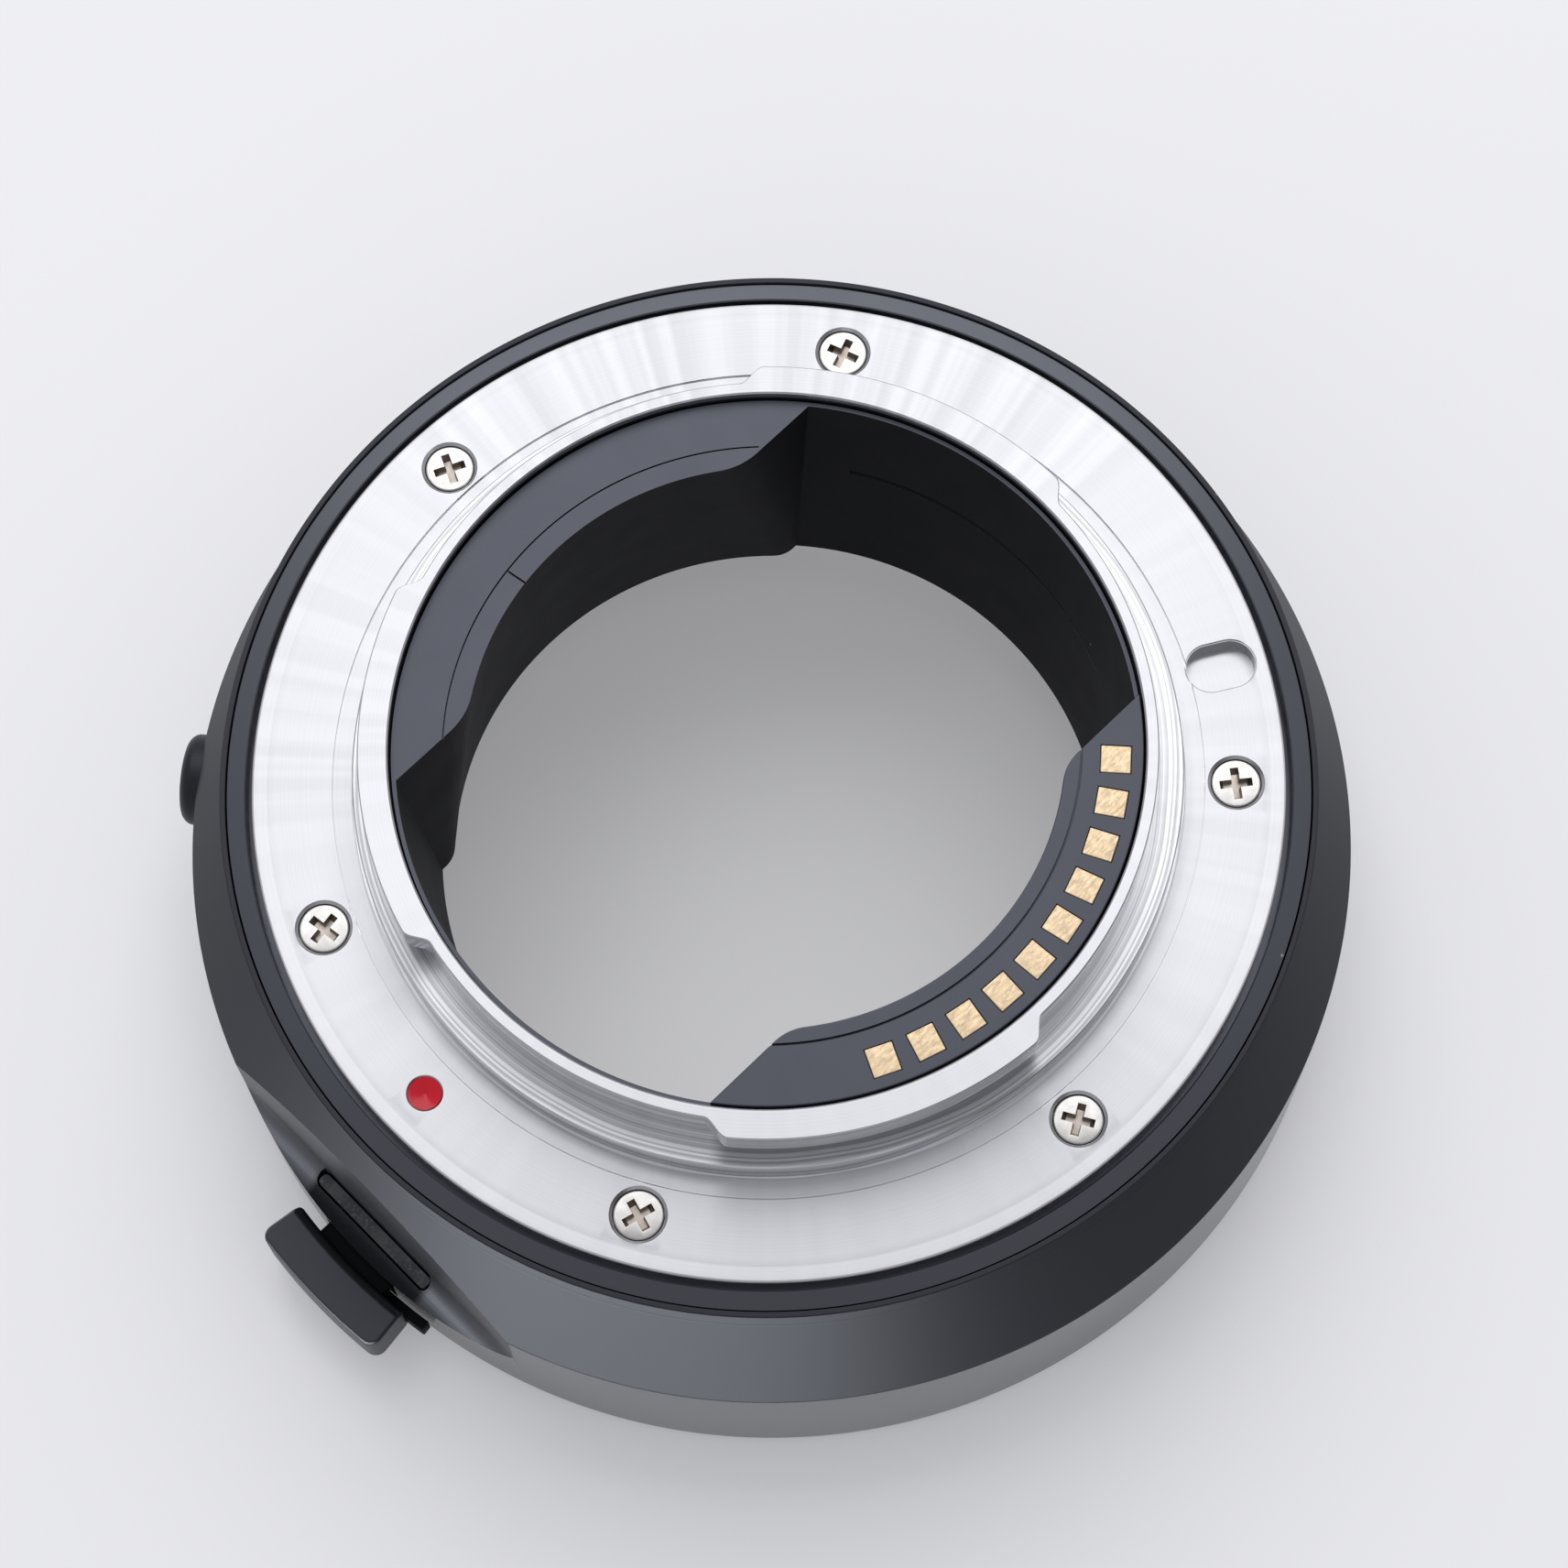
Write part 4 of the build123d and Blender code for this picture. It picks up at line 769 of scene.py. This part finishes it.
class ADAPTER_OT_baffle(bpy.types.Operator):
    """Moulds the light baffle with its drafted opening, seam lines and wall groove"""

    bl_idname = "adapter.baffle"
    bl_label = "Light baffle"

    def execute(self, context):
        colours = context.scene.adapter_colours
        black = satin_black("moulding", tuple(colours.moulding), 0.46, 0.2, 1.0).material
        # Painted shade: the baffle's walls get a darker, duller black than its tops
        painted_shade_wall_black = satin_black("moulding_wall_painted_shade", PAINTED_SHADE_BLACK, 0.62, 0.2, 0.12).material
        top, bottom = opening_outline(*BAFFLE_OPENING_TOP), opening_outline(*BAFFLE_OPENING_BOTTOM)
        columns = []
        for upper, lower in zip(top, bottom):
            angle = math.degrees(math.atan2(upper[1], upper[0]))
            high = SEAT_Z if upper[1] < -BAFFLE_BAND + 0.05 else BAFFLE_TOP
            t = (BAFFLE_TOP - high) / (BAFFLE_TOP - BAFFLE_BOTTOM)
            inner = (upper[0] + (lower[0] - upper[0]) * t, upper[1] + (lower[1] - upper[1]) * t)
            column = [Vector((*lower, BAFFLE_BOTTOM)), Vector((*inner, high))]
            for r, z in ((BAFFLE_RADIUS, high), (BAFFLE_RADIUS, 19.5), (29.4, 19.5), (29.4, 17.5),
                         (BAFFLE_RADIUS, 17.5), (BAFFLE_RADIUS, BAFFLE_BOTTOM)):
                column.append(polar(r, angle, z))
            columns.append(column)
        baffle = loop_columns("baffle", columns)
        groove = prism("groove", sector_outline(20.7, 22.44, -24.0, 32.0, 40), 20.6, 21.0)
        seam = prism("seam", sector_outline(19.8, 19.9, 47.0, 137.0, 60), 28.95, 29.6)
        cross = prism("cross", sector_outline(17.5, 19.85, 99.7, 100.1, 2), 28.95, 29.6)
        cut(baffle, groove, seam, cross)
        paint(shade(baffle, 25.0), black, painted_shade_wall_black)
        for face in baffle.data.polygons:
            # Steep faces take the painted-shade wall black
            face.material_index = int(abs(face.normal.z) < 0.5)
        stands_for(baffle, "body", "black_moulding", "light_baffle")
        paint(NODES["lens_contact_block"], black)
        return {"FINISHED"}


class ADAPTER_OT_contacts(bpy.types.Operator):
    """Makes the camera-side contact block and its gold pads"""

    bl_idname = "adapter.contacts"
    bl_label = "Camera-side contacts"

    def execute(self, context):
        sizes, colours = context.scene.adapter_sizes, context.scene.adapter_colours
        black = satin_black("block_moulding", tuple(colours.moulding), 0.46, 0.15, 0.92).material
        gold = gold_plate("gold_plate", tuple(colours.gold), 0.32)
        r, b, c = BLOCK_INNER, BLOCK_CHORD, BLOCK_CORNER
        end = math.degrees(math.asin(b / BLOCK_RADIUS))
        cx, cy = math.sqrt((r + c) ** 2 - (b + c) ** 2), b + c
        corner = math.degrees(math.atan2(cy, cx))
        outline = arc((0, 0), BLOCK_RADIUS, 180 + end, 360 - end, 60)
        outline += arc((cx, -cy), c, 90, 180 - corner, 10)
        outline += arc((0, 0), r, 360 - corner, 180 + corner, 50)[1:-1]
        outline += arc((-cx, -cy), c, corner, 90, 10)
        block = prism("contact_block", outline, BLOCK_BOTTOM, BLOCK_TOP)
        bevel(block, 0.12, 2)
        cutters = [prism("seam", sector_outline(19.1, 19.26, 225.6, 314.4, 60), 29.72, 30.3)]
        pads = []
        for angle in PAD_ANGLES:
            way = Matrix.Translation(polar(PAD_CIRCLE, angle) * MM) @ Matrix.Rotation(math.radians(angle), 4, "Z")
            pocket = prism("pocket", ((-0.97, -0.92), (0.97, -0.92), (0.97, 0.92), (-0.97, 0.92)), 29.5, 30.4)
            cutters.append(moved(pocket, way))
            pad = prism("pad", ((-0.95, -0.9), (0.95, -0.9), (0.95, 0.9), (-0.95, 0.9)), 29.52, BLOCK_TOP)
            bevel(pad, sizes.pad_bevel, 2)
            pads.append(moved(pad, way))
        cut(block, *cutters)
        paint(shade(block, 25.0), black)
        stands_for(block, "body", "black_moulding", "camera_contact_block")
        pads = join("contact_pads", pads)
        paint(shade(pads, 50.0), gold)
        stands_for(pads, "body", "gold_plate", "camera_contacts")
        for node in ["pin_sockets"] + [f"lens_contact_pin_{i}" for i in range(1, 9)]:
            paint(NODES[node], gold)
        return {"FINISHED"}


class ADAPTER_OT_slider(bpy.types.Operator):
    """Makes the release slider's finger block and sole"""

    bl_idname = "adapter.slider"
    bl_label = "Release slider"

    def execute(self, context):
        sizes, colours = context.scene.adapter_sizes, context.scene.adapter_colours
        black = satin_black("slider_black", tuple(colours.slider), 0.4, 0.12).material
        rows = ((2.2, 38.3, 41.5), (5.5, 38.3, 41.5), (6.0, 38.8, 41.5))
        loops = []
        for z, near, far in rows:
            half, corner = 7.4, 0.8
            turn = math.degrees(corner / far)
            outline = [polar(far, 180 - half + turn + (2 * half - 2 * turn) * i / 24) for i in range(25)]
            for sign, inside in ((1, True), (-1, False)):
                pass_angle = 180 + sign * (half - turn)
                hub = polar(far - corner, pass_angle)
                sweep = [pass_angle + sign * 90.0 * t / 6 for t in range(1, 7)]
                bend = [hub + polar(corner, a) for a in sweep]
                outline = outline + bend if inside else list(reversed(bend)) + outline
            outline += [polar(near, 180 + half - 2 * half * i / 24) for i in range(25)]
            loops.append([Vector((p.x, p.y, z)) for p in outline])
        count = len(loops[0])
        faces = [tuple(range(count)), tuple(range(2 * count, 3 * count))]
        for level in (0, 1):
            for i in range(count):
                j = (i + 1) % count
                base = level * count
                faces.append((base + i, base + j, base + count + j, base + count + i))
        block = add_mesh("finger", [p for loop in loops for p in loop], faces)
        bevel(block, sizes.slider_edge, 3, 25.0)
        sole = prism("sole", sector_outline(37.65, SOLE_OUTER, 176.5, 189.3, 24), 2.0, 3.6)
        bevel(sole, 0.1, 2)
        slider = join("slider", (block, sole))
        paint(shade(slider, 25.0), black, bpy.data.materials["painted_shade_black"])
        # Painted shade: the sole, inside the channel, gets the darker, duller black
        for face in slider.data.polygons:
            face.material_index = int((face.center / MM).xy.length < SOLE_OUTER)
        stands_for(slider, "release", "slider_plastic", "release_slider")
        return {"FINISHED"}


class ADAPTER_OT_button(bpy.types.Operator):
    """Turns the side button"""

    bl_idname = "adapter.button"
    bl_label = "Side button"

    def execute(self, context):
        colours = context.scene.adapter_colours
        black = satin_black("button_black", tuple(colours.barrel), 0.44, 0.08, 0.35).material
        outline = [(0, 32.95), (0.9, 32.95), (0.9, 35.6), (3.75, 35.6), (3.75, 36.25), (3.0, 36.25)]
        outline += [(2.2 + 0.8 * math.cos(math.radians(a)), 37.95 + 0.75 * math.sin(math.radians(a))) for a in range(0, 91, 10)]
        outline.append((0, 38.75))
        button = spindle("button", outline, 72)
        way = Matrix.Translation(Vector((0, 0, BUTTON_Z * MM))) @ Matrix.Rotation(math.radians(BUTTON_ANGLE), 4, "Z")
        moved(button, way @ Matrix.Rotation(math.radians(90), 4, "Y"))
        paint(shade(button), black)
        stands_for(button, "button", "black_anodised", "side_button")
        return {"FINISHED"}


class ADAPTER_OT_lens_side(bpy.types.Operator):
    """Turns the lens-side ring and finishes the hidden pieces"""

    bl_idname = "adapter.lens_side"
    bl_label = "Lens side and inner pieces"

    def execute(self, context):
        metal = bpy.data.materials["turned_metal"]
        columns = []
        steps = 720
        for i in range(steps):
            a = 360.0 * i / steps
            gap = max(
                smooth_step((CLAW_GAP_SPAN / 2 + 0.5 - abs((a - middle + 180) % 360 - 180)) / 1.0)
                for middle in CLAW_GAPS
            )
            near = 25.4 + 1.7 * gap
            section = ((near + 0.15, 0), (32.2, 0), (32.5, 0.3), (32.5, 2.2), (27.4, 2.2), (27.4, 1.3), (near, 1.3), (near, 0.15))
            columns.append([polar(r, a, z) for r, z in section])
        ring = loop_columns("lens_ring", columns)
        cutters = []
        for angle in LENS_SCREWS:
            pocket = spindle("pocket", ((0, -1.0), (1.45, -1.0), (1.3, 0.12), (1.3, 0.9), (0.7, 0.9), (0.7, 3.0), (0, 3.0)), 40)
            cutters.append(moved(pocket, Matrix.Translation(polar(LENS_SCREW_CIRCLE, angle) * MM)))
        hole = spindle("hole", ((0, -1.0), (1.05, -1.0), (1.05, 3.0), (0, 3.0)), 40)
        cutters.append(moved(hole, Matrix.Translation(Vector((-29.6 * MM, 0, 0)))))
        cut(ring, *cutters)
        paint(shade(ring), metal)
        stands_for(ring, "body", "bright_metal", "lens_mount_ring")
        steel = plated_metal("steel", (0.62, 0.62, 0.63), 0.3)
        for node in ("bayonet_springs", "lens_lock_pin"):
            paint(NODES[node], steel)
        coil = bpy.data.objects.new("pin_spring", NODES["lock_pin_spring"].data.copy())
        context.collection.objects.link(coil)
        paint(coil, steel)
        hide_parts("lock_pin_spring")
        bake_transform(coil)
        carriage = NODES["slider_carriage"]
        paint(carriage, dusty_black("blackened_steel", (0.014, 0.014, 0.015), 0.55), bpy.data.materials["painted_shade_black"])
        # Painted shade: the carriage's faces beyond the channel get the darker, duller black
        for face in carriage.data.polygons:
            face.material_index = int(face.center.x < -(CHANNEL[1] + 0.05) * MM)
        green = plain("board_green", (0.01, 0.09, 0.03), 0.4)
        for node in ("control_board", "lens_contact_board"):
            paint(NODES[node], green)
        resin = plain("chip_resin", (0.015, 0.015, 0.016), 0.55)
        for node in ("controller_chip", "memory_chip", "button_switch"):
            paint(NODES[node], resin)
        amber = plain("amber_film", (0.42, 0.19, 0.03), 0.3)
        for node in ("camera_contact_flex", "lens_contact_flex"):
            paint(NODES[node], amber)
        return {"FINISHED"}


def area_light(name, place, target, size, power, colour=(1.0, 1.0, 1.0)):
    """A square soft light that points at a target, in metres."""
    data = bpy.data.lights.new(name, "AREA")
    data.shape = "RECTANGLE"
    data.size, data.size_y = size
    data.energy = power
    data.color = colour
    lamp = bpy.data.objects.new(name, data)
    bpy.context.collection.objects.link(lamp)
    lamp.location = place
    lamp.visible_camera = False
    lamp.rotation_euler = (Vector(target) - Vector(place)).to_track_quat("-Z", "Y").to_euler()
    return lamp


class ADAPTER_OT_stage(bpy.types.Operator):
    """Lays the floor, hangs the lights and sets the camera"""

    bl_idname = "adapter.stage"
    bl_label = "Stage"

    def execute(self, context):
        colours = context.scene.adapter_colours
        half = 2500.0
        floor = add_mesh("floor", [Vector((x, y, -0.01)) for x, y in ((-half, -half), (half, -half), (half, half), (-half, half))], [(0, 1, 2, 3)])
        lit = Shader("floor", tuple(colours.floor), 0.6)
        lit.bsdf.inputs["Emission Color"].default_value = (*colours.floor, 1.0)
        lit.bsdf.inputs["Emission Strength"].default_value = FLOOR_GLOW
        paint(floor, lit.material)
        world = bpy.data.worlds.new("studio")
        context.scene.world = world
        world.use_nodes = True
        tree = world.node_tree
        sky = tree.nodes["Background"]
        sky.inputs[0].default_value = (0.955, 0.96, 1.0, 1.0)
        way = tree.nodes.new("ShaderNodeTexCoord")
        facing = tree.nodes.new("ShaderNodeVectorMath")
        facing.operation = "DOT_PRODUCT"
        facing.inputs[1].default_value = DIM_SIDE
        tree.links.new(way.outputs["Generated"], facing.inputs[0])
        level = tree.nodes.new("ShaderNodeMapRange")
        level.interpolation_type = "SMOOTHSTEP"
        for socket, value in zip(list(level.inputs)[1:5], (0.80, 0.975, SKY_BRIGHT, SKY_DIM)):
            socket.default_value = value
        tree.links.new(facing.outputs["Value"], level.inputs[0])
        tree.links.new(level.outputs[0], sky.inputs[1])
        area_light("overhead", (0.35, 0.38, 0.84), (0, 0, 0.02), (0.8, 0.8), 4.6)
        cards = (
            ("front", (-0.61, -0.32, 0.09), 0.8, 7.6),
            ("side", (-0.69, 0.05, 0.09), 0.5, 2.0),
            ("left", (-0.04, 0.69, 0.09), 0.5, 3.0),
            ("right", (0.69, 0.0, 0.09), 0.5, 4.0),
        )
        shown = bpy.data.collections.new("shown_by_cards")
        for name in ("barrel_shell", "slider"):
            shown.objects.link(bpy.data.objects[name])
        for name, place, width, power in cards:
            card = area_light(name, place, (0, 0, 0.01), (width, 0.12), power)
            card.light_linking.receiver_collection = shown
            card.visible_diffuse = False

        place = Vector((-56.263, -62.824, 266.616)) * MM
        target = Vector((0.192, -1.215, 24.0)) * MM
        back = (place - target).normalized()
        right = Vector((0, 0, 1)).cross(back).normalized()
        up = back.cross(right)
        roll = math.radians(2.14)
        axis_x = right * math.cos(roll) - up * math.sin(roll)
        axis_y = right * math.sin(roll) + up * math.cos(roll)
        data = bpy.data.cameras.new("camera")
        data.lens = 94.63
        data.sensor_width = 36.0
        data.clip_start = 0.01
        camera = bpy.data.objects.new("camera", data)
        bpy.context.collection.objects.link(camera)
        turn = Matrix((axis_x, axis_y, back)).transposed().to_4x4()
        camera.matrix_world = Matrix.Translation(place) @ turn
        context.scene.camera = camera
        context.scene.view_settings.view_transform = "Standard"
        return {"FINISHED"}


class ADAPTER_PT_pieces(bpy.types.Panel):
    """Lists the pieces and their colours"""

    bl_idname = "ADAPTER_PT_pieces"
    bl_label = "Lens mount adapter"
    bl_space_type = "VIEW_3D"
    bl_region_type = "UI"
    bl_category = "Adapter"

    def draw(self, context):
        for group in (context.scene.adapter_sizes, context.scene.adapter_colours):
            for key in group.__annotations__:
                self.layout.prop(group, key)
        for operator in OPERATORS:
            self.layout.operator(operator.bl_idname)


OPERATORS = (
    ADAPTER_OT_barrel,
    ADAPTER_OT_camera_ring,
    ADAPTER_OT_screws,
    ADAPTER_OT_baffle,
    ADAPTER_OT_contacts,
    ADAPTER_OT_slider,
    ADAPTER_OT_button,
    ADAPTER_OT_lens_side,
    ADAPTER_OT_stage,
)
CLASSES = (AdapterSizes, AdapterColours) + OPERATORS + (ADAPTER_PT_pieces,)


def register():
    """Adds the classes and their settings."""
    for cls in CLASSES:
        bpy.utils.register_class(cls)
    bpy.types.Scene.adapter_sizes = bpy.props.PointerProperty(type=AdapterSizes)
    bpy.types.Scene.adapter_colours = bpy.props.PointerProperty(type=AdapterColours)


def unregister():
    """Takes the classes and their settings away."""
    del bpy.types.Scene.adapter_colours
    del bpy.types.Scene.adapter_sizes
    for cls in reversed(CLASSES):
        bpy.utils.unregister_class(cls)


def main():
    """Builds every piece in order."""
    register()
    bpy.ops.adapter.barrel()
    bpy.ops.adapter.camera_ring()
    bpy.ops.adapter.screws()
    bpy.ops.adapter.baffle()
    bpy.ops.adapter.contacts()
    bpy.ops.adapter.slider()
    bpy.ops.adapter.button()
    bpy.ops.adapter.lens_side()
    bpy.ops.adapter.stage()


if __name__ == "__main__":
    main()
